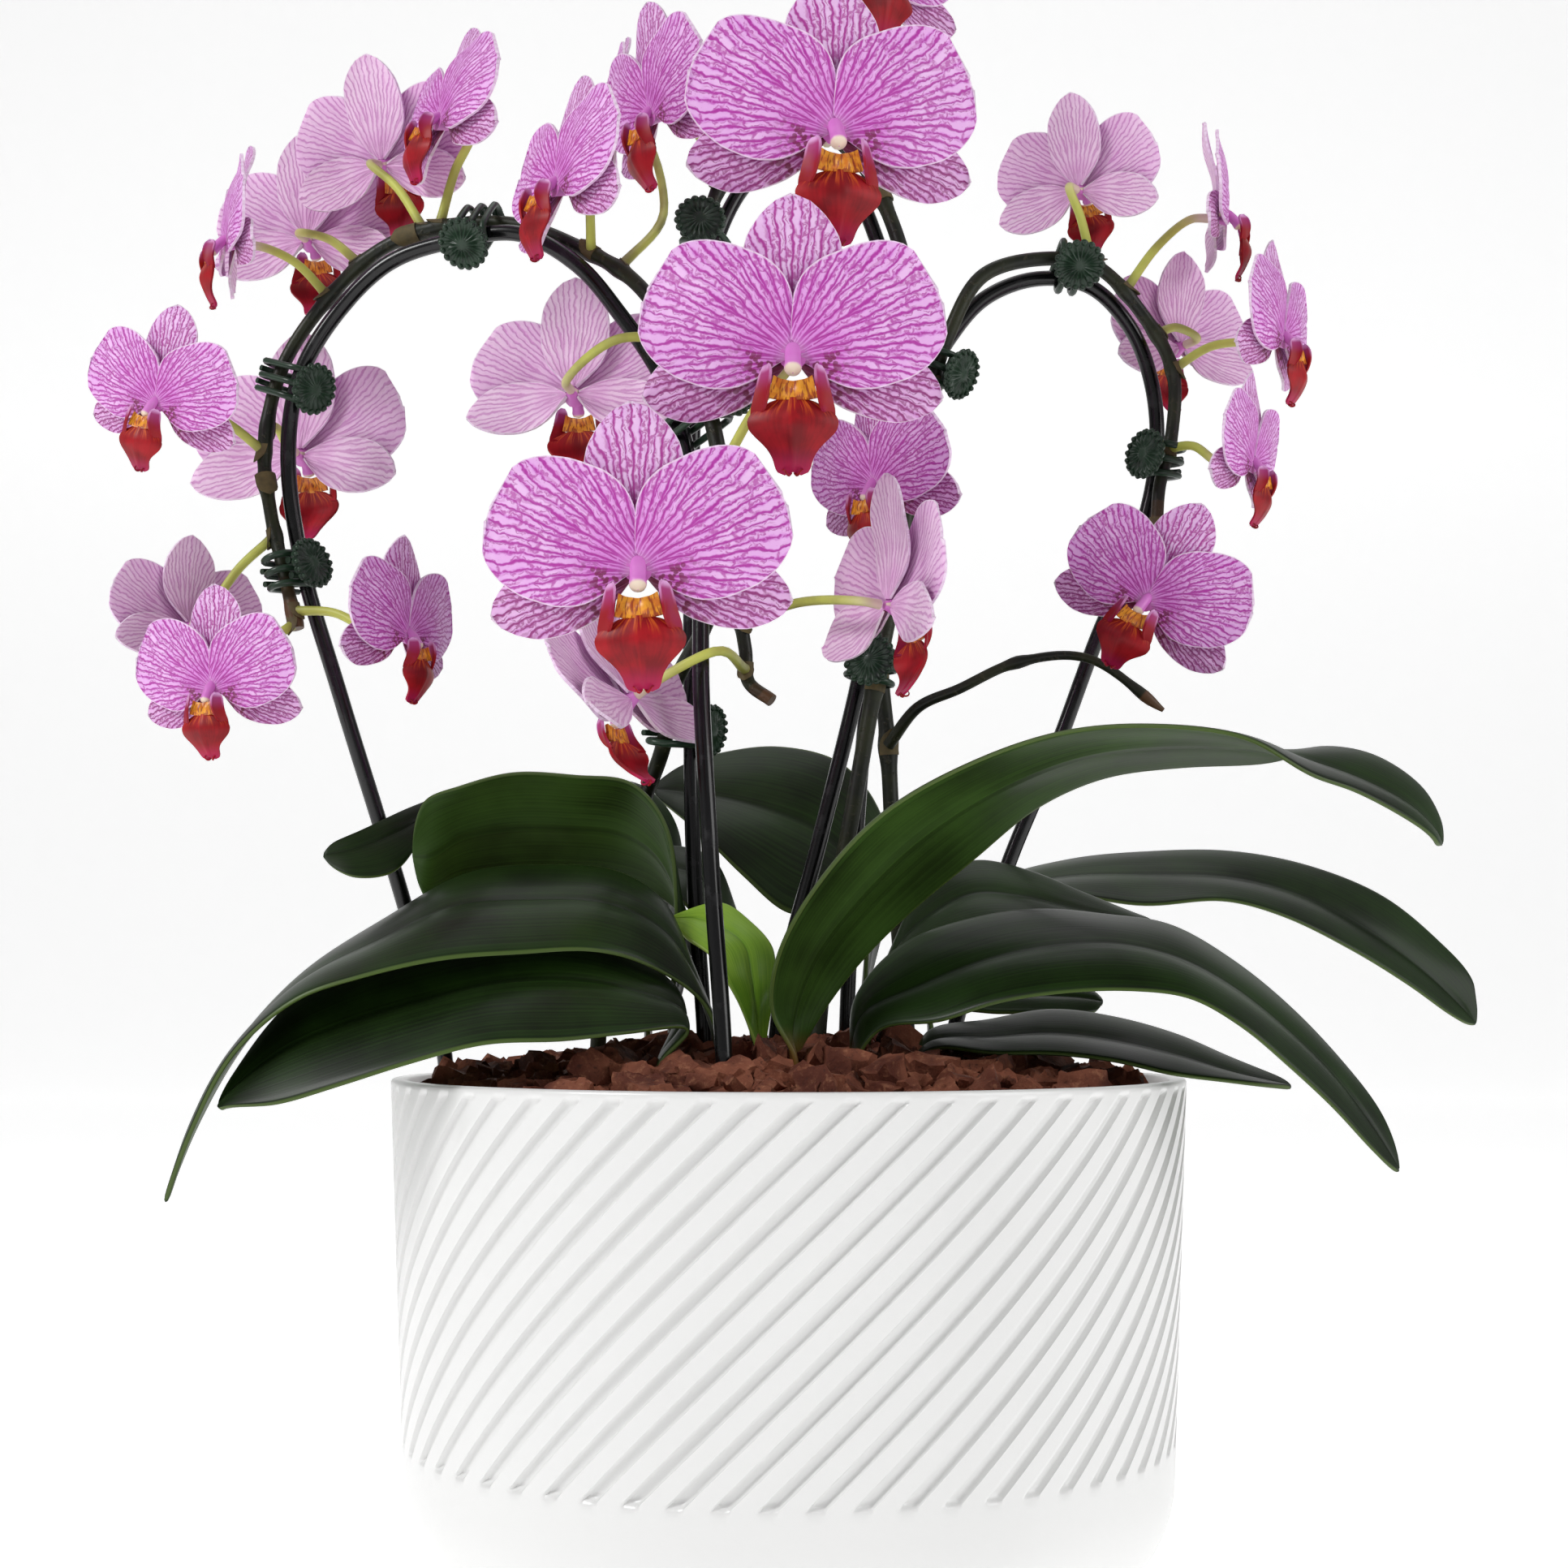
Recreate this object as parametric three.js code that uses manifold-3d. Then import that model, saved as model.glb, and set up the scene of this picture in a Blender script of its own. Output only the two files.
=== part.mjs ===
// Potted moth orchid: a ribbed white planter filled with bark chips, two plants with strap leaves,
// three arched flower spikes held to black hoops by small clips, and twenty-six open blooms.
// Millimetres, +Z up, the planter stands on z = 0 and its axis is the z axis; the front is -Y.

import * as THREE from "three";
import Module from "manifold-3d";

const wasm = await Module();
wasm.setup();

// Planter
const POT_HEIGHT = 155;
const POT_RIM_RADIUS = 120;
const POT_WAIST_RADIUS = 115;
const POT_WAIST_Z = 40;
const POT_CORNER_RADIUS = 40;
const POT_WALL = 5;
const GROOVES = 60;
const GROOVE_DEPTH = 1.9;
const GROOVE_BOTTOM_Z = 49;
const GROOVE_TOP_Z = 153;
const GROOVE_START = -1.8;
const GROOVE_TWIST = 53.1;

// Bark
const BARK_EDGE_Z = 148;
const BARK_CROWN_Z = 163;
const CHIPS = 32;

// Rods, stems and blades
const ROD_RADIUS = 2.5;
const STEM_RADIUS = 2.6;
const PEDICEL_RADIUS = 1.25;
const GAP = 0.35;
const PETAL_HALF_THICKNESS = 0.65;
const LEAF_HALF_THICKNESS = 1.0;

const RAD = Math.PI / 180;
const group = new THREE.Group();
group.name = "potted_orchid";

// Helpers

const vec = (x, y, z) => new THREE.Vector3(x, y, z);
const points = (rows) => rows.map(([x, y, z]) => vec(x, y, z));

// A repeatable scatter in 0..1.
function scatter(seed) {
  let state = seed;
  return () => {
    state = (state * 16807) % 2147483647;
    return state / 2147483647;
  };
}

function solid(vertices, faces) {
  const data = new Float32Array(vertices.flatMap((v) => [v.x, v.y, v.z]));
  const triVerts = new Uint32Array(faces.flat());
  return new wasm.Manifold(new wasm.Mesh({ numProp: 3, vertProperties: data, triVerts }));
}

const join = (bodies) => bodies.reduce((a, b) => a.add(b));

// The largest body of a cut solid.
function largest(body) {
  return body.decompose().reduce((a, b) => (b.volume() > a.volume() ? b : a));
}

function addNode(name, body, color, roughness, metalness = 0) {
  const mesh = body.getMesh();
  const geometry = new THREE.BufferGeometry();
  geometry.setAttribute("position", new THREE.BufferAttribute(mesh.vertProperties, 3));
  geometry.setIndex(new THREE.BufferAttribute(mesh.triVerts, 1));
  geometry.computeVertexNormals();
  const material = new THREE.MeshStandardMaterial({ color, roughness, metalness });
  const node = new THREE.Mesh(geometry, material);
  node.name = name;
  group.add(node);
}

// A closed skin over rings of points, the first and last ring closed flat. A ring may hold a whole
// number of times the points of its neighbour.
function skin(rings) {
  const vertices = rings.flat();
  const starts = [];
  let count = 0;
  for (const ring of rings) {
    starts.push(count);
    count += ring.length;
  }
  const faces = [];
  for (let r = 0; r + 1 < rings.length; r++) {
    const n = rings[r].length;
    const m = rings[r + 1].length;
    const few = Math.min(n, m);
    const a = (i) => starts[r] + (i % n);
    const b = (i) => starts[r + 1] + (i % m);
    for (let i = 0; i < few; i++) {
      if (n <= m) {
        const k = m / n;
        faces.push([a(i), a(i + 1), b(k * (i + 1))]);
        for (let j = 0; j < k; j++) faces.push([a(i), b(k * i + j + 1), b(k * i + j)]);
      } else {
        const k = n / m;
        for (let j = 0; j < k; j++) faces.push([a(k * i + j), a(k * i + j + 1), b(i)]);
        faces.push([a(k * (i + 1)), b(i + 1), b(i)]);
      }
    }
  }
  const last = starts[rings.length - 1];
  for (let i = 1; i + 1 < rings[0].length; i++) faces.push([0, i + 1, i]);
  for (let i = 1; i + 1 < rings[rings.length - 1].length; i++) faces.push([last, last + i, last + i + 1]);
  return solid(vertices, faces);
}

// A round bar along a curve, its frames carried along without twist; extra lengthens its first end.
function bar(curve, radius, sides, steps, from = 0, to = 1, extra = 0) {
  const radiusAt = typeof radius === "number" ? () => radius : radius;
  const rings = [];
  let side = null;
  for (let i = 0; i <= steps; i++) {
    const t = from + ((to - from) * i) / steps;
    const centre = curve.getPoint(t);
    const tangent = curve.getTangent(t);
    if (i === 0) centre.addScaledVector(tangent, -extra);
    if (!side) side = Math.abs(tangent.x) < 0.8 ? vec(1, 0, 0) : vec(0, 1, 0);
    side = side.clone().addScaledVector(tangent, -side.dot(tangent)).normalize();
    const other = tangent.clone().cross(side);
    const ring = [];
    for (let k = 0; k < sides; k++) {
      const angle = (2 * Math.PI * k) / sides;
      const r = radiusAt((t - from) / (to - from));
      ring.push(
        centre
          .clone()
          .addScaledVector(side, r * Math.cos(angle))
          .addScaledVector(other, r * Math.sin(angle)),
      );
    }
    rings.push(ring);
  }
  return skin(rings);
}

const curveOf = (rows) => new THREE.CatmullRomCurve3(points(rows), false, "centripetal");

// A thin blade added to a list of points and faces: rows of middle points, thickened by the half
// thickness of each column. Both faces are split into triangles alike, and a column of no thickness
// is a sharp edge. An open blade has no face at its first row.
function layBlade(rows, halves, vertices, faces, open) {
  const n = rows.length;
  const m = rows[0].length;
  const front = [];
  const back = [];
  for (let i = 0; i < n; i++) {
    front.push([]);
    back.push([]);
    for (let j = 0; j < m; j++) {
      const along = rows[Math.min(i + 1, n - 1)][j].clone().sub(rows[Math.max(i - 1, 0)][j]);
      const across = rows[i][Math.min(j + 1, m - 1)].clone().sub(rows[i][Math.max(j - 1, 0)]);
      const normal = across.cross(along).normalize();
      const half = halves[j];
      front[i].push(vertices.length);
      vertices.push(rows[i][j].clone().addScaledVector(normal, half));
      if (half === 0) {
        back[i].push(front[i][j]);
        continue;
      }
      back[i].push(vertices.length);
      vertices.push(rows[i][j].clone().addScaledVector(normal, -half));
    }
  }
  const face = (a, b, c) => {
    if (a !== b && b !== c && c !== a) faces.push([a, b, c]);
  };
  const wall = (a, b, c, d) => {
    face(a, b, c);
    face(a, c, d);
  };
  for (let i = 0; i + 1 < n; i++) {
    for (let j = 0; j + 1 < m; j++) {
      wall(front[i][j], front[i][j + 1], front[i + 1][j + 1], front[i + 1][j]);
      face(back[i][j], back[i + 1][j + 1], back[i][j + 1]);
      face(back[i][j], back[i + 1][j], back[i + 1][j + 1]);
    }
    wall(back[i][0], front[i][0], front[i + 1][0], back[i + 1][0]);
    wall(front[i][m - 1], back[i][m - 1], back[i + 1][m - 1], front[i + 1][m - 1]);
  }
  for (let j = 0; j + 1 < m; j++) {
    if (!open) wall(front[0][j + 1], front[0][j], back[0][j], back[0][j + 1]);
    wall(front[n - 1][j], front[n - 1][j + 1], back[n - 1][j + 1], back[n - 1][j]);
  }
  return [front[0], back[0]];
}

function blade(rows, halves) {
  const vertices = [];
  const faces = [];
  layBlade(rows, halves, vertices, faces, false);
  return solid(vertices, faces);
}

// Planter: a bowl whose wall carries slanting channels between flat ribs.

function circle(radius, z, count, turn = 0) {
  const ring = [];
  for (let i = 0; i < count; i++) {
    const angle = (turn - 90 + (360 * i) / count) * RAD;
    ring.push(vec(radius * Math.cos(angle), radius * Math.sin(angle), z));
  }
  return ring;
}

const wallRadius = (z) =>
  POT_WAIST_RADIUS +
  ((POT_RIM_RADIUS - POT_WAIST_RADIUS) * (z - POT_WAIST_Z)) / (POT_HEIGHT - POT_WAIST_Z);

function groovedRing(z) {
  const rise = (z - GROOVE_BOTTOM_Z) / (GROOVE_TOP_Z - GROOVE_BOTTOM_Z);
  const twist = GROOVE_START + GROOVE_TWIST * rise;
  const pitch = 360 / GROOVES;
  const ring = [];
  for (let i = 0; i < GROOVES; i++) {
    for (const [part, sunk] of [[0, 0], [0.6, 0], [0.8, GROOVE_DEPTH]]) {
      const angle = (twist - 90 + pitch * (i + part)) * RAD;
      const r = wallRadius(z) - sunk;
      ring.push(vec(r * Math.cos(angle), r * Math.sin(angle), z));
    }
  }
  return ring;
}

function bowlCorner(angles, shrink, count, turn) {
  const core = POT_WAIST_RADIUS - POT_CORNER_RADIUS;
  return angles.map((angle) =>
    circle(
      core + (POT_CORNER_RADIUS - shrink) * Math.sin(angle * RAD),
      POT_WAIST_Z - (POT_CORNER_RADIUS - shrink) * Math.cos(angle * RAD),
      count,
      turn,
    ),
  );
}

const grooveLevels = [0, 1, 2, 3, 4, 5].map(
  (i) => GROOVE_BOTTOM_Z + 2 + ((GROOVE_TOP_Z - GROOVE_BOTTOM_Z - 3) * i) / 5,
);
const GROOVE_END = GROOVE_START + GROOVE_TWIST;
const potBody = skin([
  ...bowlCorner([0, 28, 56], 0, GROOVES, GROOVE_START),
  circle(wallRadius(GROOVE_BOTTOM_Z), GROOVE_BOTTOM_Z, GROOVES, GROOVE_START),
  ...grooveLevels.map(groovedRing),
  circle(wallRadius(GROOVE_TOP_Z), GROOVE_TOP_Z, GROOVES, GROOVE_END),
  circle(POT_RIM_RADIUS - 0.7, POT_HEIGHT, GROOVES, GROOVE_END),
  circle(POT_RIM_RADIUS - POT_WALL, POT_HEIGHT - 0.5, GROOVES / 2, GROOVE_END),
  ...bowlCorner([0, 45, 90], POT_WALL, GROOVES / 2, GROOVE_END).reverse(),
]);
addNode("pot", potBody, "#f1f1ef", 0.35);

// Hoops: bent rods pushed into the bark.

const HOOPS = {
  hoop_left: [
    [-106, 14, 110], [-107, 12, 161], [-119, 8, 206], [-139, 0, 272], [-151, -5, 314], [-155, -8, 347],
    [-151, -12, 370], [-139, -16, 389], [-122, -22, 403], [-101, -28, 408], [-81, -34, 408],
    [-63, -38, 397], [-50, -41, 381], [-38, -45, 362], [-30, -49, 339], [-26, -51, 305],
    [-25, -56, 265], [-22, -62, 217], [-18, -68, 161], [-17, -69, 110],
  ],
  hoop_center: [
    [-24, -8, 110], [-25, -8, 159], [-29, -8, 221], [-30, -8, 281], [-30, -6, 332], [-29, -2, 374],
    [-24, 4, 415], [-12, 8, 440], [4, 10, 449], [18, 6, 440], [28, 0, 417], [34, -5, 387],
    [34, -9, 358], [30, -13, 324], [22, -16, 278], [9, -16, 225], [-2, -15, 181], [-7, -15, 110],
  ],
  hoop_right: [
    [18, 22, 110], [18, 22, 158], [21, 20, 222], [25, 16, 274], [29, 12, 315], [34, 8, 342],
    [41, 4, 368], [50, 2, 385], [62, 2, 399], [79, 4, 406], [96, 6, 404], [109, 8, 391],
    [116, 10, 372], [117, 12, 349], [111, 13, 323], [98, 13, 293], [84, 13, 256], [68, 13, 218],
    [50, 13, 160], [49, 13, 110],
  ],
};

const HOOP_STEPS = 28;
const hoopCurves = {};
for (const [name, rows] of Object.entries(HOOPS)) {
  hoopCurves[name] = curveOf(rows);
  addNode(name, bar(hoopCurves[name], ROD_RADIUS, 5, HOOP_STEPS), "#141416", 0.25);
}

// Flower spikes: each rises beside a hoop and arches over with it.

const SPIKES = {
  spike_left: [
    [-61, 31, 110], [-61, 31, 158], [-57, 26, 204], [-46, 8, 238], [-38, -12, 256], [-35, -18, 272],
    [-25, -36, 288], [-17, -54, 308], [-19, -59, 328], [-24, -57, 351], [-33, -51, 371], [-46, -42, 391],
    [-63, -33, 404], [-82, -27, 413], [-103, -21, 415], [-125, -15, 410], [-143, -9, 396],
    [-158, -6, 374], [-163, -5, 348], [-160, -8, 328], [-155, -12, 310], [-150, -14, 291],
  ],
  spike_center: [
    [8, -30, 110], [8, -30, 160], [11, -28, 191], [19, -26, 234], [26, -25, 273], [35, -21, 319],
    [39, -17, 356], [39, -12, 388], [33, -7, 419], [21, 0, 445], [4, 3, 458], [-15, 2, 446],
    [-28, -3, 416], [-34, -8, 373], [-33, -16, 335], [-25, -22, 311], [-16, -26, 296],
    [-13, -26, 283], [-12, -27, 273], [-5, -30, 267],
  ],
  spike_right: [
    [37, 6, 110], [37, 6, 159], [33, 6, 216], [31, 5, 257], [29, 4, 282], [31, 3, 308],
    [37, 0, 338], [43, -3, 363], [50, -7, 385], [61, -6, 404], [81, -4, 410], [97, -2, 408],
    [111, 0, 394], [121, 2, 376], [121, 4, 357], [117, 6, 339], [116, 6, 326],
  ],
};
const spikeCurves = {};
for (const [name, rows] of Object.entries(SPIKES)) spikeCurves[name] = curveOf(rows);

// Blooms: centre, full width, then the way it faces: turn to the right, tilt up, roll; last the
// spike it hangs on and the place along it, counted in the points of the spike.

const BLOOMS = [
  ["bloom_01", 22, -40, 490, 81, 35, 10, 0, "spike_center", 9.2],
  ["bloom_02", 13, -72, 425, 86, 10, -5, 0, "spike_center", 10],
  ["bloom_03", 1, -96, 353, 85, 0, -4, 0, "spike_left", 8.1],
  ["bloom_04", -39, -124, 289, 81, 0, -6, -3, "spike_left", 7.6],
  ["bloom_05", -169, -40, 269, 56, -20, -10, 0, "spike_left", 20.9],
  ["bloom_06", -113, -32, 286, 55, 65, -5, 0, "spike_left", 20.7],
  ["bloom_07", -190, -32, 356, 55, -25, -10, 15, "spike_left", 18],
  ["bloom_08", -158, 28, 354, 74, 165, -5, 0, "spike_left", 17.7],
  ["bloom_09", -175, -10, 413, 58, -70, 0, 0, "spike_left", 16],
  ["bloom_10", -157, 30, 426, 64, 170, 0, 0, "spike_left", 15.4],
  ["bloom_11", -129, 10, 445, 62, 160, 15, 0, "spike_left", 14.4],
  ["bloom_12", -107, -26, 446, 61, -55, 10, 0, "spike_left", 14.2],
  ["bloom_13", -67, -67, 411, 64, -58, 5, 0, "spike_left", 11.8],
  ["bloom_14", -42, -28, 447, 64, -60, -10, 0, "spike_center", 11.4],
  ["bloom_15", -65, -22, 361, 66, 170, -10, 0, "spike_left", 10],
  ["bloom_16", 25, -46, 328, 59, -50, -10, 0, "spike_center", 5.6],
  ["bloom_17", 30, -72, 288, 68, 115, -5, 0, "spike_center", 16.4],
  ["bloom_18", -47, -59, 262, 66, -120, -30, 0, "spike_center", 17.6],
  ["bloom_19", 93, 0, 433, 55, 150, 10, 0, "spike_right", 10.9],
  ["bloom_20", 139, 4, 426, 57, 80, 0, 0, "spike_right", 11.6],
  ["bloom_21", 155, -4, 384, 58, 60, -5, 0, "spike_right", 13],
  ["bloom_22", 128, 36, 392, 57, -150, -5, 0, "spike_right", 12.4],
  ["bloom_23", 141, -22, 340, 52, 60, -10, 0, "spike_right", 14.3],
  ["bloom_24", 106, -34, 296, 60, -20, -5, 30, "spike_right", 15.9],
  ["bloom_25", -187, -2, 293, 52, -140, -5, 0, "spike_left", 19.4],
  ["bloom_26", -59, 24, 461, 60, -80, 0, 0, "spike_left", 11.3],
];
const LOOSE_LIPS = ["bloom_02", "bloom_03", "bloom_04"];

// Outlines run from root to tip: place along the length, share of the half width.
const PETAL_OUTLINE = [[0.16, 0.58], [0.42, 0.97], [0.7, 0.96], [0.9, 0.6], [1, 0.2]];
const SMALL_PETAL_OUTLINE = [[0.2, 0.68], [0.55, 1], [0.86, 0.7], [1, 0.22]];
const SEPAL_OUTLINE = [[0.38, 0.94], [0.76, 0.86], [1, 0.14]];

const HUB_FRONT = 1.5;
const HUB_BACK = 5.5;
const HUB_SHARE = 0.05;
const ROOT_ANGLE = 18;

// The tepals in turn from straight up: angle, length and half width as shares of the full width,
// how far back it is set, how it leans forward, how it curls back, how its edges bend back.
const TEPALS = [
  [0, 0.55, 0.165, 2.6, 0, 0.1, 0.06],
  [68, 0.52, 0.27, 0, 0.1, 0.1, 0.02],
  [104, 0.5, 0.125, 2.6, 0, 0.1, 0.06],
  [256, 0.5, 0.125, 2.6, 0, 0.1, 0.06],
  [292, 0.52, 0.27, 0, 0.1, 0.1, 0.02],
];

// The lower half of a petal is narrower than its upper half, which is full from root to tip.
const LOW_SIDE = 0.74;
const HIGH_SIDE = 0.6;

// Five tepals grown from one hub, which runs back to a blunt point.
function starBody(width) {
  const vertices = [vec(0, -HUB_FRONT, 0), vec(0, HUB_BACK, 0)];
  const faces = [];
  const fronts = [];
  const backs = [];
  const hub = HUB_SHARE * width;
  for (const [angle, length, half, setback, lean, curl, bend] of TEPALS) {
    const wide = half > 0.2;
    const outline = wide ? (width > 66 ? PETAL_OUTLINE : SMALL_PETAL_OUTLINE) : SEPAL_OUTLINE;
    const root = hub * Math.cos(ROOT_ANGLE * RAD);
    const stations = [[root, hub * Math.sin(ROOT_ANGLE * RAD)]];
    for (const [s, w] of outline) stations.push([root + s * (length * width - root), w * half * width]);
    const c = Math.cos(angle * RAD);
    const sn = Math.sin(angle * RAD);
    const rows = stations.map(([along, reach], i) =>
      [-1, 0, 1].map((t) => {
        const full = i ? half * width * (reach / (half * width)) ** HIGH_SIDE : reach;
        const across = t * (wide ? (t * sn > 0 ? LOW_SIDE * reach : full) : reach);
        const depth = setback - lean * along + (curl * along * along) / (length * width) + bend * reach * Math.abs(t);
        return vec(across * c + along * sn, depth, -across * sn + along * c);
      }),
    );
    const [front, back] = layBlade(rows, [0, PETAL_HALF_THICKNESS, 0], vertices, faces, true);
    fronts.push(...front);
    backs.push(...back);
  }
  for (let i = 0; i < fronts.length; i++) {
    const next = (i + 1) % fronts.length;
    faces.push([0, fronts[next], fronts[i]]);
    faces.push([1, backs[i], backs[next]]);
  }
  return solid(vertices, faces);
}

// The lip: a hanging spade under two upright lobes, one bent sheet. Each row has the forward reach,
// the height and half the width of its middle and of its edge; start is how far forward it begins and
// sink how much lower it sits.
const LIP_ROWS = [
  [0.03, -0.02, 0.01, 0.03, -0.02, 0.02],
  [0.085, -0.075, 0.045, 0.1, -0.012, 0.085],
  [0.105, -0.12, 0.05, 0.085, -0.1, 0.105],
  [0.125, -0.185, 0.075, 0.08, -0.185, 0.143],
  [0.095, -0.285, 0.045, 0.075, -0.285, 0.082],
  [0.055, -0.36, 0.02, 0.05, -0.355, 0.042],
];

function lipBody(width, start, sink) {
  const rows = LIP_ROWS.map(([reach, height, half, edgeReach, edgeHeight, edgeHalf]) =>
    [-1, -0.5, 0, 0.5, 1].map((t) => {
      const edge = Math.abs(t) === 1;
      return vec(
        Math.sign(t) * (edge ? edgeHalf : half) * width,
        -start - (edge ? edgeReach : reach) * width,
        (edge ? edgeHeight : height) * width - sink,
      );
    }),
  );
  return blade(rows, [0, 1, 1, 1, 0].map((share) => share * PETAL_HALF_THICKNESS));
}

function bloomFrame([, x, y, z, , turn, tilt, roll]) {
  return new THREE.Matrix4()
    .makeTranslation(x, y, z)
    .multiply(new THREE.Matrix4().makeRotationZ(turn * RAD))
    .multiply(new THREE.Matrix4().makeRotationX(-tilt * RAD))
    .multiply(new THREE.Matrix4().makeRotationY(roll * RAD));
}

const blooms = {};
for (const row of BLOOMS) {
  const [name, , , , width] = row;
  const column = new THREE.LineCurve3(vec(0, 0.3, 0.01 * width), vec(0, -0.09 * width, -0.035 * width));
  const parts = [starBody(width), bar(column, (t) => (0.037 - 0.009 * t) * width, 5, 1)];
  const loose = LOOSE_LIPS.includes(name);
  if (!loose) parts.push(lipBody(width, 0, 0));
  const frame = bloomFrame(row);
  blooms[name] = {
    body: join(parts).transform(frame.elements),
    lip: loose ? lipBody(width, 0, 0.027 * width) : null,
    frame,
    row,
  };
}

// Pedicels: short stalks from the spike to the back of each bloom's hub.

const BOWS = {
  bloom_15: [0, -12, 3],
  bloom_18: [4, -22, 4],
  bloom_26: [10, 10, 0],
};

function pedicel({ frame, row }) {
  const [name, , , , , , , , spike, place] = row;
  const curve = spikeCurves[spike];
  const root = curve.getPoint(place / (curve.points.length - 1));
  const end = vec(0, HUB_BACK + GAP, 0).applyMatrix4(frame);
  const before = vec(0, HUB_BACK + GAP + 5, 0).applyMatrix4(frame);
  const middle = root.clone().lerp(before, 0.5);
  const [bx, by, bz] = BOWS[name] ?? [0, 0, 3];
  middle.add(vec(bx, by, bz));
  const path = new THREE.CatmullRomCurve3([root, middle, before, end], false, "centripetal");
  return bar(path, PEDICEL_RADIUS, 4, 4);
}

// A swollen joint on a spike, with its dry scale.
function stemJoint(curve, place) {
  const t = place / (curve.points.length - 1);
  const step = 4 / curve.getLength();
  return bar(curve, (s) => STEM_RADIUS + 0.9 * Math.sin(Math.PI * s) + 0.1, 6, 2, t - step, t + step);
}

const BRANCH = [
  [31, 2, 257], [40, -6, 268], [52, -10, 273], [70, -12, 281], [91, -14, 282], [114, -14, 266],
];
const STEM_JOINTS = { spike_left: [6.6, 14.6, 18.5], spike_center: [4, 8.4], spike_right: [3, 7.2] };

const stemSteps = (curve) => Math.round(1.4 * (curve.points.length - 1));

for (const [name, curve] of Object.entries(spikeCurves)) {
  const parts = [bar(curve, (t) => STEM_RADIUS - 0.6 * t, 6, stemSteps(curve))];
  for (const bloom of Object.values(blooms)) {
    if (bloom.row[8] === name) parts.push(pedicel(bloom));
  }
  for (const place of STEM_JOINTS[name]) parts.push(stemJoint(curve, place));
  if (name === "spike_right") parts.push(bar(curveOf(BRANCH), 1.9, 6, 7));
  addNode(name, join(parts), "#3c4220", 0.45);
}

for (const [name, bloom] of Object.entries(blooms)) {
  addNode(name, bloom.body, "#d58fd3", 0.5);
  if (!bloom.lip) continue;
  const clear = bloom.lip.transform(bloom.frame.elements);
  addNode(name.replace("bloom", "lip"), clear, "#a01c33", 0.45);
}

// Leaves: rows from the crown to the tip, each a point on the far edge, on the middle line and on the
// near edge.

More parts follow.
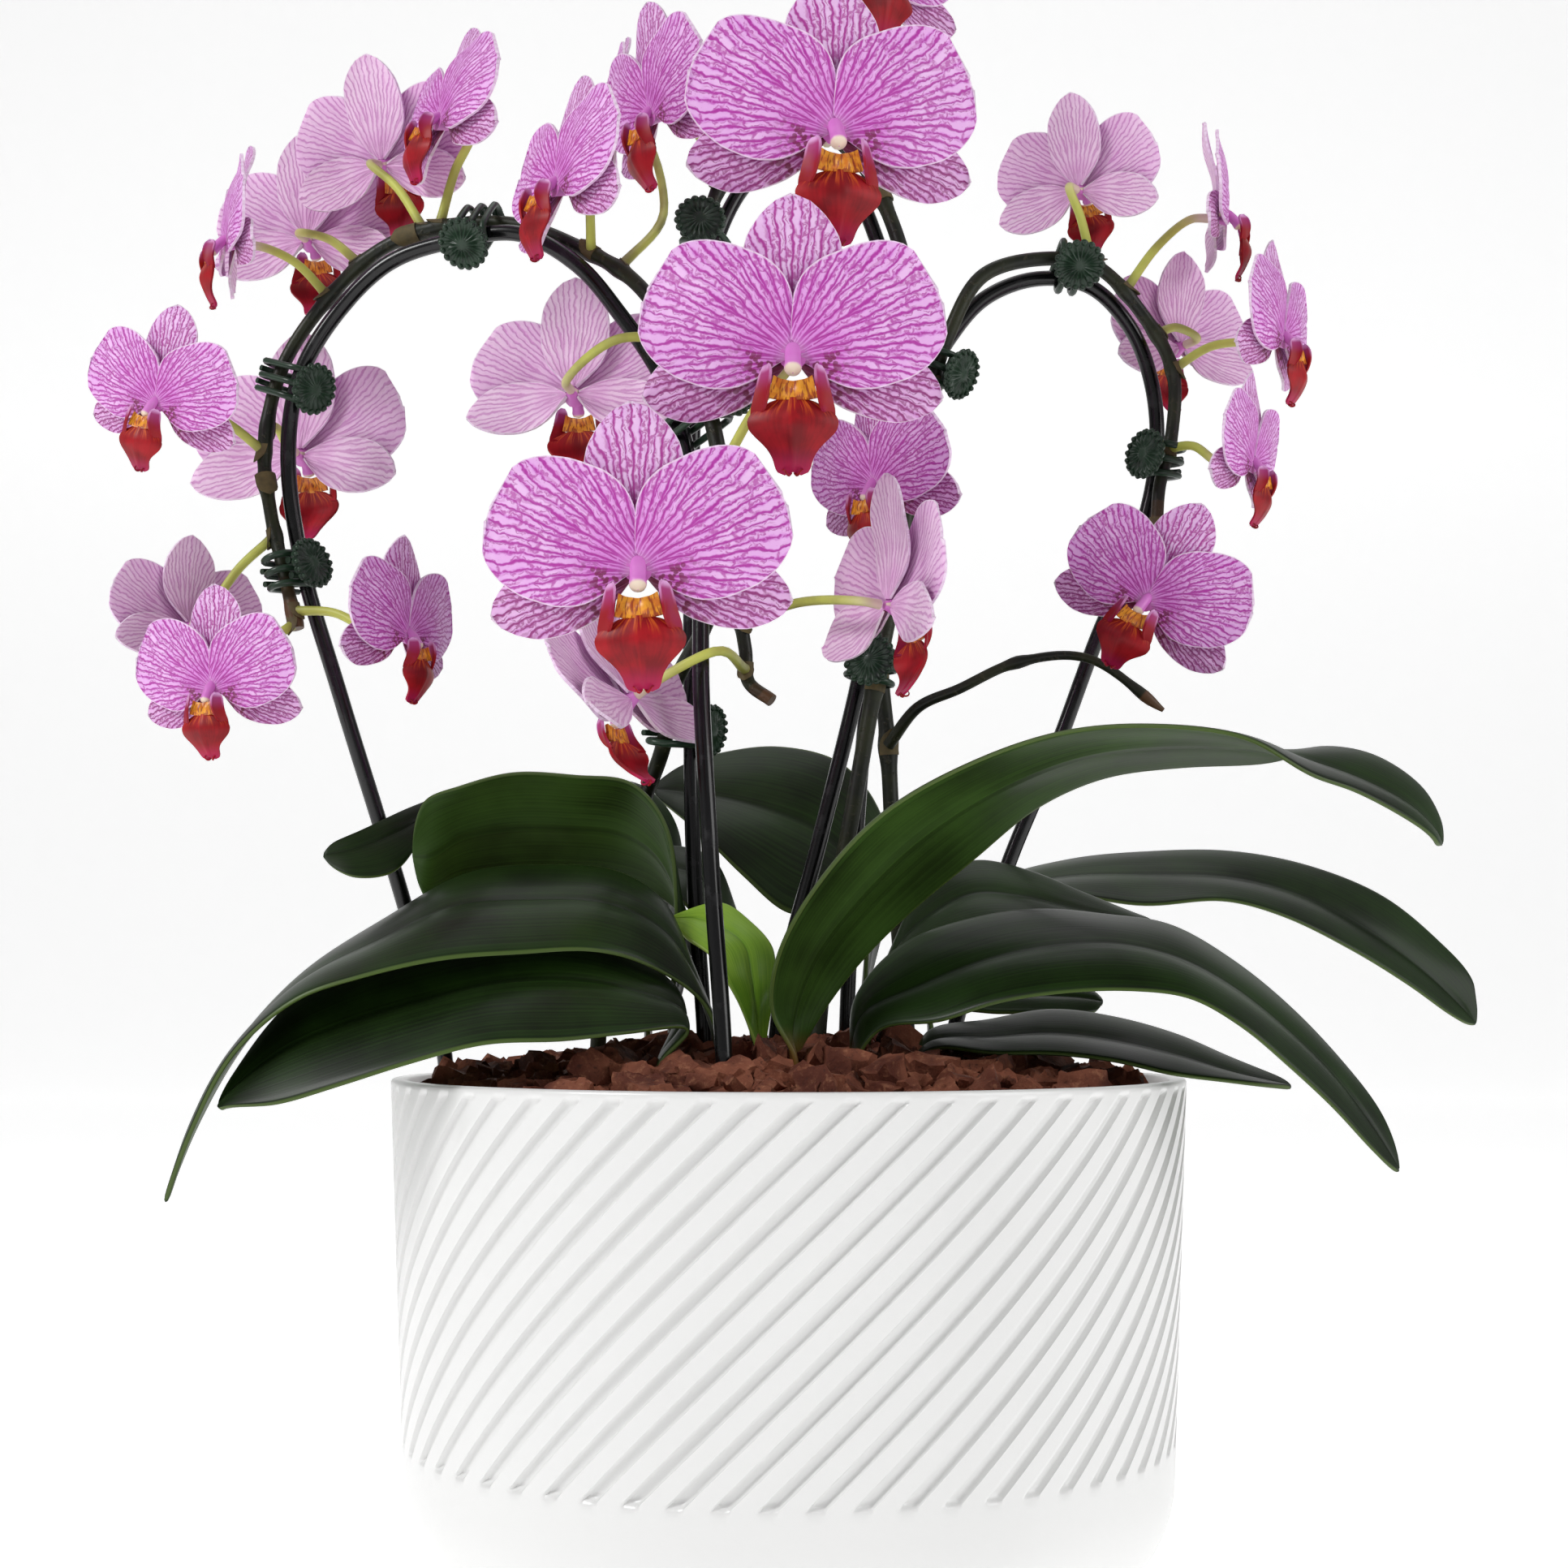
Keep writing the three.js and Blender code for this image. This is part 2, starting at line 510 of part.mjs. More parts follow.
const LEAVES = [
  ["leaf_01", [
    [-18, -36, 152, -19, -43, 152, -18, -50, 152], [-19, -36, 163, -20, -44, 163, -19, -52, 163],
    [-29, -36, 189, -26, -44, 182, -24, -52, 177], [-37, -32, 207, -36, -45, 198, -40, -57, 188],
    [-51, -28, 216, -53, -48, 206, -55, -64, 192], [-72, -26, 218, -73, -50, 207, -75, -69, 191],
    [-95, -26, 216, -95, -52, 205, -96, -73, 189], [-118, -28, 203, -116, -54, 195, -118, -75, 184],
    [-139, -32, 188, -137, -56, 184, -136, -74, 178], [-157, -38, 167, -155, -58, 165, -154, -71, 163],
    [-169, -46, 143, -167, -59, 144, -165, -68, 143], [-175, -58, 122, -174, -60, 122, -174, -62, 122]]],
  ["leaf_02", [
    [-34, -53, 152, -35, -60, 152, -34, -67, 152], [-36, -52, 160, -37, -60, 160, -36, -68, 160],
    [-31, -51, 179, -29, -60, 174, -28, -66, 170], [-45, -44, 191, -44, -62, 181, -45, -74, 169],
    [-61, -42, 199, -61, -64, 184, -62, -80, 167], [-82, -40, 199, -81, -66, 183, -82, -84, 166],
    [-103, -40, 196, -102, -66, 178, -102, -84, 161], [-124, -42, 189, -122, -66, 172, -122, -82, 155],
    [-143, -48, 177, -141, -66, 164, -140, -78, 150], [-155, -60, 158, -155, -66, 153, -154, -72, 149],
    [-158, -65, 151, -158, -67, 149, -158, -69, 148]]],
  ["leaf_03", [
    [-34, -1, 152, -35, -8, 152, -34, -15, 152], [-35, 0, 170, -36, -8, 170, -35, -16, 170],
    [-30, -3, 199, -32, -9, 203, -34, -16, 207], [-40, -2, 210, -39, -12, 221, -37, -22, 231],
    [-54, 4, 213, -51, -10, 229, -47, -24, 243], [-70, 9, 214, -68, -10, 231, -63, -26, 245],
    [-88, 8, 213, -86, -10, 231, -82, -27, 246], [-102, 4, 211, -100, -11, 228, -98, -26, 242],
    [-110, -4, 208, -109, -13, 222, -109, -22, 238], [-114, -10, 217, -114, -13, 222, -114, -16, 227]]],
  ["leaf_04", [
    [-44, 49, 152, -45, 42, 152, -44, 35, 152], [-45, 50, 170, -46, 42, 170, -45, 34, 170],
    [-35, 44, 217, -39, 36, 215, -42, 28, 212], [-37, 41, 236, -42, 33, 231, -46, 25, 223],
    [-48, 40, 248, -51, 29, 240, -56, 18, 231], [-66, 36, 249, -70, 23, 242, -72, 11, 234],
    [-86, 28, 248, -90, 17, 242, -93, 8, 235], [-104, 18, 244, -107, 9, 239, -109, 1, 232],
    [-117, 4, 238, -120, -2, 230, -120, -8, 217], [-131, -5, 230, -133, -8, 224, -131, -13, 215],
    [-142, -7, 225, -142, -8, 222, -142, -9, 220]]],
  ["leaf_05", [
    [44, 35, 152, 43, 30, 152, 44, 25, 152], [46, 36, 166, 45, 31, 166, 46, 26, 166],
    [47, 40, 181, 47, 34, 177, 46, 28, 174], [68, 44, 183, 67, 34, 179, 67, 25, 174],
    [87, 44, 183, 86, 34, 179, 85, 25, 174], [98, 40, 181, 98, 34, 178, 97, 28, 174],
    [101, 36, 178, 101, 34, 177, 100, 32, 176]]],
  ["leaf_06", [
    [24, 53, 152, 23, 46, 152, 24, 39, 152], [25, 55, 176, 24, 47, 176, 25, 39, 176],
    [34, 60, 216, 28, 48, 216, 23, 36, 215], [31, 66, 241, 21, 50, 224, 10, 36, 207],
    [18, 68, 258, 8, 52, 235, 0, 34, 206], [-3, 70, 264, -8, 52, 241, -15, 34, 218],
    [-22, 70, 262, -25, 54, 245, -27, 38, 230], [-36, 68, 257, -37, 58, 247, -38, 49, 240],
    [-45, 62, 250, -45, 60, 248, -45, 58, 246]]],
  ["leaf_07", [
    [-10, 15, 152, -11, 10, 152, -10, 5, 152], [-10, 15, 166, -11, 10, 166, -10, 5, 166],
    [-12, 20, 189, -14, 15, 186, -17, 10, 184], [-17, 25, 207, -21, 16, 204, -26, 7, 200],
    [-24, 28, 223, -28, 17, 216, -34, 6, 209], [-34, 28, 227, -38, 17, 220, -42, 7, 213],
    [-43, 23, 226, -45, 15, 222, -47, 8, 217], [-48, 16, 223, -49, 14, 222, -50, 12, 220]]],
  ["leaf_08", [
    [-8, -34, 152, -9, -37, 152, -8, -40, 152], [-8, -33, 160, -9, -37, 160, -8, -41, 160],
    [-5, -34, 178, -10, -38, 177, -14, -40, 176], [-4, -30, 187, -11, -36, 185, -19, -40, 185],
    [-5, -26, 194, -13, -32, 194, -23, -38, 191], [-11, -22, 201, -19, -28, 199, -30, -34, 196],
    [-20, -20, 207, -27, -25, 202, -33, -30, 199], [-35, -25, 203, -36, -26, 202, -38, -27, 201]]],
  ["leaf_09", [
    [2, -50, 152, 1, -57, 152, 2, -64, 152], [2, -49, 162, 1, -57, 162, 2, -65, 162],
    [8, -50, 172, 1, -56, 174, -5, -66, 175], [20, -46, 188, 7, -60, 190, -3, -74, 192],
    [36, -42, 204, 20, -62, 207, 8, -80, 211], [54, -42, 219, 38, -64, 224, 25, -84, 229],
    [72, -42, 234, 60, -65, 238, 48, -86, 242], [92, -42, 243, 83, -65, 247, 74, -86, 251],
    [115, -42, 246, 107, -65, 250, 99, -86, 253], [140, -44, 247, 133, -64, 249, 125, -84, 250],
    [154, -46, 251, 147, -64, 245, 143, -82, 240], [169, -46, 249, 162, -62, 240, 156, -78, 236],
    [182, -48, 240, 176, -60, 233, 172, -70, 229], [186, -53, 230, 183, -59, 226, 181, -64, 224],
    [186, -56, 223, 185, -58, 222, 184, -60, 221]]],
  ["leaf_10", [
    [32, 49, 152, 31, 42, 152, 32, 35, 152], [33, 49, 172, 32, 42, 172, 33, 35, 172],
    [48, 50, 192, 46, 42, 190, 44, 34, 187], [67, 60, 216, 64, 46, 211, 62, 32, 205],
    [94, 66, 225, 90, 48, 218, 87, 30, 211], [123, 68, 228, 120, 50, 219, 114, 30, 208],
    [150, 70, 228, 146, 52, 218, 140, 32, 210], [176, 70, 223, 170, 54, 212, 160, 34, 205],
    [200, 68, 213, 192, 55, 200, 183, 38, 194], [217, 66, 199, 210, 56, 187, 202, 44, 183],
    [228, 62, 185, 222, 57, 176, 216, 50, 174], [228, 57, 171, 227, 56, 170, 226, 55, 169]]],
  ["leaf_11", [
    [18, -39, 152, 17, -46, 152, 18, -53, 152], [19, -38, 161, 18, -46, 161, 19, -54, 161],
    [19, -40, 178, 21, -48, 174, 26, -56, 170], [32, -34, 194, 37, -52, 182, 42, -66, 172],
    [52, -30, 202, 55, -54, 189, 57, -72, 177], [73, -30, 205, 73, -56, 193, 74, -76, 180],
    [93, -32, 203, 92, -58, 194, 93, -78, 181], [111, -36, 200, 109, -60, 190, 110, -78, 179],
    [128, -40, 190, 124, -61, 182, 124, -78, 171], [143, -46, 177, 138, -62, 171, 137, -76, 160],
    [156, -52, 162, 152, -63, 157, 149, -74, 149], [166, -58, 147, 162, -64, 143, 160, -70, 138],
    [170, -64, 133, 169, -65, 131, 169, -66, 130]]],
  ["leaf_12", [
    [36, -22, 152, 35, -28, 152, 36, -34, 152], [38, -22, 161, 37, -28, 161, 38, -34, 161],
    [42, -20, 169, 42, -28, 166, 43, -36, 164], [60, -14, 172, 59, -30, 167, 58, -46, 163],
    [79, -12, 175, 77, -32, 168, 76, -50, 163], [98, -14, 173, 95, -33, 166, 92, -52, 161],
    [116, -18, 168, 113, -34, 162, 109, -50, 157], [131, -24, 161, 129, -35, 157, 126, -46, 155],
    [147, -34, 154, 146, -36, 153, 146, -38, 153]]],
  ["leaf_13", [
    [24, -6, 152, 23, -12, 152, 24, -18, 152], [25, -6, 172, 24, -12, 172, 25, -18, 172],
    [34, -6, 199, 33, -14, 194, 33, -22, 189], [42, 0, 213, 42, -12, 203, 41, -24, 194],
    [57, 2, 221, 56, -12, 210, 55, -26, 198], [74, 0, 218, 71, -13, 209, 69, -26, 200],
    [90, -4, 211, 88, -14, 205, 85, -24, 200], [103, -8, 205, 101, -14, 203, 100, -20, 201],
    [110, -13, 202, 110, -15, 201, 109, -17, 200]]],
];

function leafBody([, rows], grow) {
  const laid = rows.map(([a, b, c, d, e, f, g, h, i]) => {
    const row = [vec(a, b, c), vec(d, e, f), vec(g, h, i)];
    const side = row[2].clone().sub(row[0]).normalize();
    row[0].addScaledVector(side, -grow);
    row[2].addScaledVector(side, grow);
    return row;
  });
  for (const p of laid[0]) p.z -= grow;
  const edge = LEAF_HALF_THICKNESS * 0.6 + grow;
  return blade(laid, [edge, LEAF_HALF_THICKNESS + grow, edge]);
}

for (const leaf of LEAVES) addNode(leaf[0], leafBody(leaf, 0), "#2f4a1f", 0.35);

// Clips: a band round rod and stem, and a scalloped button on a short stalk.

const CLIPS = [
  ["clip_01", "hoop_left", "spike_left", [-95, -28, 410], [0.1, -0.85, -0.5]],
  ["clip_02", "hoop_left", "spike_left", [-151, -9, 368], [1, -0.8, 0]],
  ["clip_03", "hoop_left", "spike_left", [-152, -4, 310], [1, -0.7, 0]],
  ["clip_04", "hoop_left", "spike_left", [-31, -49, 345], [0.8, -1, 0]],
  ["clip_05", "hoop_right", "spike_right", [46, -2, 376], [1, -0.75, -0.2]],
  ["clip_06", "hoop_right", "spike_right", [89, 1, 408], [0, -1, -0.6]],
  ["clip_07", "hoop_right", "spike_right", [118, 8, 348], [-1, -0.8, 0]],
  ["clip_08", "hoop_center", "spike_center", [-26, 2, 417], [0, -1, 0]],
  ["clip_09", "hoop_center", "spike_left", [-30, -8, 261], [1, -0.6, 0]],
  ["clip_10", "hoop_center", "spike_center", [24, -16, 278], [-0.4, -1, 0]],
];
const CLIP_BAND = 1.3;
const CLIP_HEIGHT = 4;
const CLIP_SEAT = 0.9;
const BUTTON_RADIUS = 7.5;

function nearest(curve, target) {
  let best = null;
  for (let i = 0; i <= 600; i++) {
    const p = curve.getPoint(i / 600);
    const far = p.distanceTo(target);
    if (!best || far < best.far) best = { far, p, tangent: curve.getTangent(i / 600) };
  }
  return best;
}

function clipBody([, hoop, spike, at, facing]) {
  const rod = nearest(hoopCurves[hoop], vec(...at));
  const stem = nearest(spikeCurves[spike], rod.p);
  const axis = rod.tangent.clone();
  axis.add(stem.tangent.clone().multiplyScalar(Math.sign(stem.tangent.dot(axis)))).normalize();
  const across = stem.p.clone().sub(rod.p);
  across.addScaledVector(axis, -across.dot(axis));
  const reach = across.length();
  across.normalize();
  const out = axis.clone().cross(across);
  if (out.dot(vec(...facing)) < 0) out.negate();
  const middle = rod.p.clone().addScaledVector(across, reach / 2 + CLIP_SEAT);
  const inner = STEM_RADIUS + 1.4;
  const turnings = 8;
  const rings = [];
  for (let i = 0; i < turnings; i++) {
    const angle = (2 * Math.PI * (i + 0.5)) / turnings;
    const c = Math.cos(angle);
    const s = Math.sin(angle);
    const ring = [];
    for (const [r, h] of [[inner, -0.5], [inner + CLIP_BAND, -0.5], [inner + CLIP_BAND, 0.5], [inner, 0.5]]) {
      ring.push(
        middle
          .clone()
          .addScaledVector(across, Math.sign(c) * (reach / 2) + (r / Math.cos(Math.PI / turnings)) * c)
          .addScaledVector(out, (r / Math.cos(Math.PI / turnings)) * s)
          .addScaledVector(axis, h * CLIP_HEIGHT),
      );
    }
    rings.push(ring);
  }
  const vertices = rings.flat();
  const faces = [];
  const flip = out.dot(axis.clone().cross(across)) < 0;
  for (let i = 0; i < turnings; i++) {
    for (let k = 0; k < 4; k++) {
      const a = 4 * i + k;
      const b = 4 * i + ((k + 1) % 4);
      const c = 4 * ((i + 1) % turnings) + ((k + 1) % 4);
      const d = 4 * ((i + 1) % turnings) + k;
      if (flip) faces.push([a, c, b], [a, d, c]);
      else faces.push([a, b, c], [a, c, d]);
    }
  }
  const face = vec(...facing);
  face.addScaledVector(axis, -face.dot(axis)).normalize();
  const edge = inner + CLIP_BAND * 0.5;
  const shift = Math.max(-1, Math.min(1, 2 * face.dot(across))) * (reach / 2);
  const start = middle.clone().addScaledVector(across, shift).addScaledVector(face, edge);
  const stalkTop = start.clone().addScaledVector(face, 5);
  const plate = [0, 1].map((level) => {
    const ring = [];
    const side = axis.clone().cross(face).normalize();
    for (let k = 0; k < 12; k++) {
      const angle = (2 * Math.PI * k) / 12;
      const r = k % 2 ? BUTTON_RADIUS : BUTTON_RADIUS * 0.86;
      ring.push(
        stalkTop
          .clone()
          .addScaledVector(side, r * Math.cos(angle))
          .addScaledVector(axis, -r * Math.sin(angle))
          .addScaledVector(face, -1 + 2 * level),
      );
    }
    return ring;
  });
  let band = solid(vertices, faces);
  if (band.volume() < 0) band = solid(vertices, faces.map(([a, b, c]) => [a, c, b]));
  let disc = skin(plate);
  if (disc.volume() < 0) disc = skin([...plate].reverse());
  return join([band, bar(new THREE.LineCurve3(start, stalkTop), 1.8, 5, 1), disc]);
}

for (const clip of CLIPS) addNode(clip[0], clipBody(clip), "#2c4a34", 0.4);

// Bark: a filling with a rounded top, covered in broken chips, with clear holes round what stands in it.

const random = scatter(41);
const between = (low, high) => low + (high - low) * random();
const barkTop = (r) => BARK_EDGE_Z + (BARK_CROWN_Z - BARK_EDGE_Z) * (1 - (r / 116) ** 2);

function chip(x, y, z, length, width, height, turn, pitch, roll) {
  const corners = [];
  for (const k of [0, 1]) {
    for (const [i, j] of [[-1, -1], [1, -1], [1, 1], [-1, 1]]) {
      const shrink = between(0.7, 1);
      corners.push(vec((i * length * shrink) / 2, (j * width * between(0.7, 1)) / 2, (k - 0.5) * height));
    }
  }
  const turned = new THREE.Matrix4()
    .makeTranslation(x, y, z)
    .multiply(new THREE.Matrix4().makeRotationFromEuler(new THREE.Euler(pitch, roll, turn, "ZYX")));
  corners.forEach((c) => c.applyMatrix4(turned));
  return skin([corners.slice(0, 4), corners.slice(4)]);
}

let bark = skin([
  circle(73, 5.4, 20),
  circle(97, 16, 20),
  circle(108.6, 42, 20),
  circle(113, 146, 20),
  circle(98, barkTop(98), 20),
  circle(60, barkTop(60), 10),
]);
const chips = [];
for (let i = 0; i < CHIPS; i++) {
  const r = 102 * Math.sqrt(0.1 + (0.9 * (i + 0.5)) / CHIPS);
  const angle = i * 2.39996 + between(-0.2, 0.2);
  chips.push(
    chip(
      r * Math.cos(angle),
      r * Math.sin(angle),
      barkTop(r) + between(-0.5, 2.5),
      between(24, 34),
      between(14, 20),
      between(4, 6),
      between(0, 6.28),
      between(-0.4, 0.4),
      between(-0.4, 0.4),
    ),
  );
}
bark = join([bark, ...chips]);
for (const curve of Object.values(hoopCurves)) {
  bark = bark.subtract(bar(curve, ROD_RADIUS + GAP, 5, HOOP_STEPS, 0, 1, GAP));
}
for (const leaf of LEAVES) bark = bark.subtract(leafBody(leaf, GAP));
for (const curve of Object.values(spikeCurves)) {
  bark = bark.subtract(bar(curve, STEM_RADIUS + GAP, 6, stemSteps(curve), 0, 1, GAP));
}
const within = skin([circle(112, 0, 20), circle(113, 146, 20), circle(113.4, 190, 20)]);
addNode("bark", largest(bark.intersect(within)), "#5a3324", 0.85);

export default group;
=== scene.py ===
# %% [markdown]
# # A potted moth orchid
#
# Three arched flower stems, clipped to black hoops, stand in a white ribbed planter filled with bark.
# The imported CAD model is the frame: it says where each piece is, in metres, with +Z up and the front
# at -Y. Each cell below makes one kind of piece and puts it exactly where its CAD solid stands.

# %% Load the frame
import math
import random

import bpy
from mathutils import Matrix, Vector, noise


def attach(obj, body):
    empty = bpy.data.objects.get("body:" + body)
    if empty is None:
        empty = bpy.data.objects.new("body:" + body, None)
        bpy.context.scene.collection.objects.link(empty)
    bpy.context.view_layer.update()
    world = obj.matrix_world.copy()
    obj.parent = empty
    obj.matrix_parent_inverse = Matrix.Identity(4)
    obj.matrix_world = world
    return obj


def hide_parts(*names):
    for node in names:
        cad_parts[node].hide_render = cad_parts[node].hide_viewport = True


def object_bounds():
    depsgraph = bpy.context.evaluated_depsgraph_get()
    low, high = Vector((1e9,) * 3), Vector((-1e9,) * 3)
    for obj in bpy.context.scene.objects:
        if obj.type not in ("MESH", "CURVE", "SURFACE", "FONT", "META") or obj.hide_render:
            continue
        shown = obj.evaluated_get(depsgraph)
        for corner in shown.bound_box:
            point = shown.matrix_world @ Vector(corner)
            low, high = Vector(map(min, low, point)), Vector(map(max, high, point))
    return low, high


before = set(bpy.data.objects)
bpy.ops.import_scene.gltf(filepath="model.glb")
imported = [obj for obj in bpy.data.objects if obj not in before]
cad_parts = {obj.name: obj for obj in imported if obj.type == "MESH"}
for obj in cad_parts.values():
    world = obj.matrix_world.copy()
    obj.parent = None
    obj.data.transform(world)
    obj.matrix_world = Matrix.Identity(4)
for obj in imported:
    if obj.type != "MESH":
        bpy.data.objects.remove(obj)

MM = 0.001
cad_box = [list(corner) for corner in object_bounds()]
print("CAD box", [[round(x, 3) for x in corner] for corner in cad_box])


def start_fresh():
    """Object mode with nothing selected, because an operator acts on all that is selected."""
    if bpy.context.object and bpy.context.object.mode != "OBJECT":
        bpy.ops.object.mode_set(mode="OBJECT")
    bpy.ops.object.select_all(action="DESELECT")


def choose(*pieces):
    """These pieces selected, the first of them active."""
    start_fresh()
    for piece in pieces:
        piece.select_set(True)
    bpy.context.view_layer.objects.active = pieces[0]


def join_up(name, *pieces):
    """Several meshes as one piece, which is given its name."""
    choose(*pieces)
    if len(pieces) > 1:
        bpy.ops.object.join()
    pieces[0].name = name
    pieces[0].data.name = name
    return pieces[0]


def twin(model):
    """A copy of a piece with its own mesh."""
    copy = model.copy()
    copy.data = model.data.copy()
    bpy.context.scene.collection.objects.link(copy)
    return copy


def face_out(piece, merge=0.0, smooth=0):
    """All faces turned outwards. Points closer than merge, in mm, become one, and edges duller than
    smooth, in degrees, are shaded smooth."""
    choose(piece)
    bpy.ops.object.mode_set(mode="EDIT")
    bpy.ops.mesh.select_all(action="SELECT")
    if merge:
        bpy.ops.mesh.remove_doubles(threshold=merge * MM)
    bpy.ops.mesh.normals_make_consistent(inside=False)
    bpy.ops.object.mode_set(mode="OBJECT")
    if smooth:
        bpy.ops.object.shade_smooth_by_angle(angle=math.radians(smooth))


def settle(piece, slot, *nodes):
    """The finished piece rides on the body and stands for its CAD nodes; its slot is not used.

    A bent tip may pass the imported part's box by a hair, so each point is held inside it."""
    low, high = cad_box
    for vertex in piece.data.vertices:
        vertex.co = [min(max(x, a), b) for x, a, b in zip(vertex.co, low, high)]
    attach(piece, "root")
    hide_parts(*nodes)
    return piece


# %% [markdown]
# ## The camera
#
# The photograph was taken from about 0.7 m, a little above the leaves, looking slightly up. A camera at
# that place with the same field of view gives the same outline, so it is placed first and every piece
# can be compared with the photograph as soon as it is made. Its focus is left off, because a catalogue
# picture is sharp all over.

# %% Camera
CAMERA_PLACE = Vector((-1.4, -720, 180))  # in millimetres
CAMERA_PITCH = 95.14  # degrees, where 90 is level
CAMERA_SENSOR, CAMERA_LENS = 36, 53.66

bpy.ops.object.camera_add(location=CAMERA_PLACE * MM, rotation=(math.radians(CAMERA_PITCH), 0, 0))
camera = bpy.context.object
camera.data.sensor_width = CAMERA_SENSOR
camera.data.lens = CAMERA_LENS
bpy.context.scene.camera = camera
print("camera", tuple(round(x, 3) for x in camera.location), "lens", camera.data.lens)

# %% [markdown]
# ## The studio
#
# The plant stands on a plain pale floor that runs up behind it in one sweep, as studio paper does. A
# plane whose back edge is extruded upwards and whose fold is bevelled gives that sweep. Three large soft
# area lights and a pale world leave soft shadows and long highlights on the glaze and the leaves. The
# paper glows a little as well, because a catalogue picture has a white ground.

# %% Floor and backdrop
FLOOR_SIZE, BACKDROP_HEIGHT = 8, 5  # in metres
SWEEP, SWEEP_STEPS = 1.6, 24


def mark_edges(test):
    """Edit mode with only those floor edges selected whose two ends both pass the test."""
    bpy.ops.mesh.select_all(action="DESELECT")
    bpy.ops.object.mode_set(mode="OBJECT")
    for edge in floor.data.edges:
        edge.select = all(test(floor.data.vertices[i].co) for i in edge.vertices)
    bpy.ops.object.mode_set(mode="EDIT")


start_fresh()
bpy.ops.mesh.primitive_plane_add(size=FLOOR_SIZE, location=(0, 1, 0))
floor = bpy.context.object
floor.name = "floor"
bpy.ops.object.mode_set(mode="EDIT")
bpy.ops.mesh.select_mode(type="EDGE")
mark_edges(lambda at: at.y > 0)
bpy.ops.mesh.extrude_edges_move(TRANSFORM_OT_translate={"value": (0, 0, BACKDROP_HEIGHT)})
mark_edges(lambda at: at.y > 0 and at.z < 1)
bpy.ops.mesh.bevel(offset=SWEEP, segments=SWEEP_STEPS)
bpy.ops.object.mode_set(mode="OBJECT")
bpy.ops.object.shade_smooth()


# %% Lights
LIT_POINT = Vector((0, 0, 0.25))
SKY = 0.27
LIGHTS = [  # name, place and diameter in metres, power in watts
    ("key", (-1.6, -1.0, 1.5), 0.8, 24),
    ("fill", (1.8, -0.9, 1.0), 1.4, 15),
    ("top", (0.1, 0.5, 2.2), 1.5, 6),
]
for name, place, size, power in LIGHTS:
    bpy.ops.object.light_add(type="AREA", location=place)
    light = bpy.context.object
    light.name = name
    light.data.shape = "DISK"
    light.data.size = size
    light.data.energy = power
    light.rotation_euler = (Vector(place) - LIT_POINT).to_track_quat("Z", "Y").to_euler()
world = bpy.data.worlds.new("studio")
world.use_nodes = True
background = world.node_tree.nodes["Background"]
background.inputs["Color"].default_value = (1, 1, 1, 1)
background.inputs["Strength"].default_value = SKY
bpy.context.scene.world = world
bpy.context.scene.view_settings.view_transform = "Standard"
print(len(LIGHTS), "lights")

# %% [markdown]
# ## Writing a finish as sums
#
# A finish is a small net of shader nodes. Written out node by node it is long, so two small classes do
# the wiring: `Signal` is the output of a node, and adding or multiplying signals adds the Math nodes
# that do it. `Paint` is one material with its Principled shader, and its `node` method adds any other
# node. Values that are the same all over are set straight on the shader.


# %% Signals and paints
class Signal:
    """A number or colour that changes over the surface."""

    def __init__(self, paint, socket):
        self.paint, self.socket = paint, socket

    def math(self, operation, *values):
        return self.paint.node("ShaderNodeMath", {"operation": operation}, dict(enumerate(values)))

    def __add__(self, other):
        return self.math("ADD", self, other)

    def __sub__(self, other):
        return self.math("SUBTRACT", self, other)

    def __rsub__(self, other):
        return self.math("SUBTRACT", other, self)

    def __mul__(self, other):
        return self.math("MULTIPLY", self, other)

    def __truediv__(self, other):
        return self.math("DIVIDE", self, other)

    __radd__ = __add__
    __rmul__ = __mul__

    def size(self):
        return self.math("ABSOLUTE", self)

    def larger(self, other):
        return self.math("MAXIMUM", self, other)

    def smaller(self, other):
        return self.math("MINIMUM", self, other)

    def rise(self, low, high):
        """0 below low, 1 above high, and a smooth step between; low may be the larger."""
        if low > high:
            return 1 - self.rise(high, low)
        sockets = {"Value": self, "From Min": low, "From Max": high}
        return self.paint.node("ShaderNodeMapRange", {"interpolation_type": "SMOOTHSTEP"}, sockets)


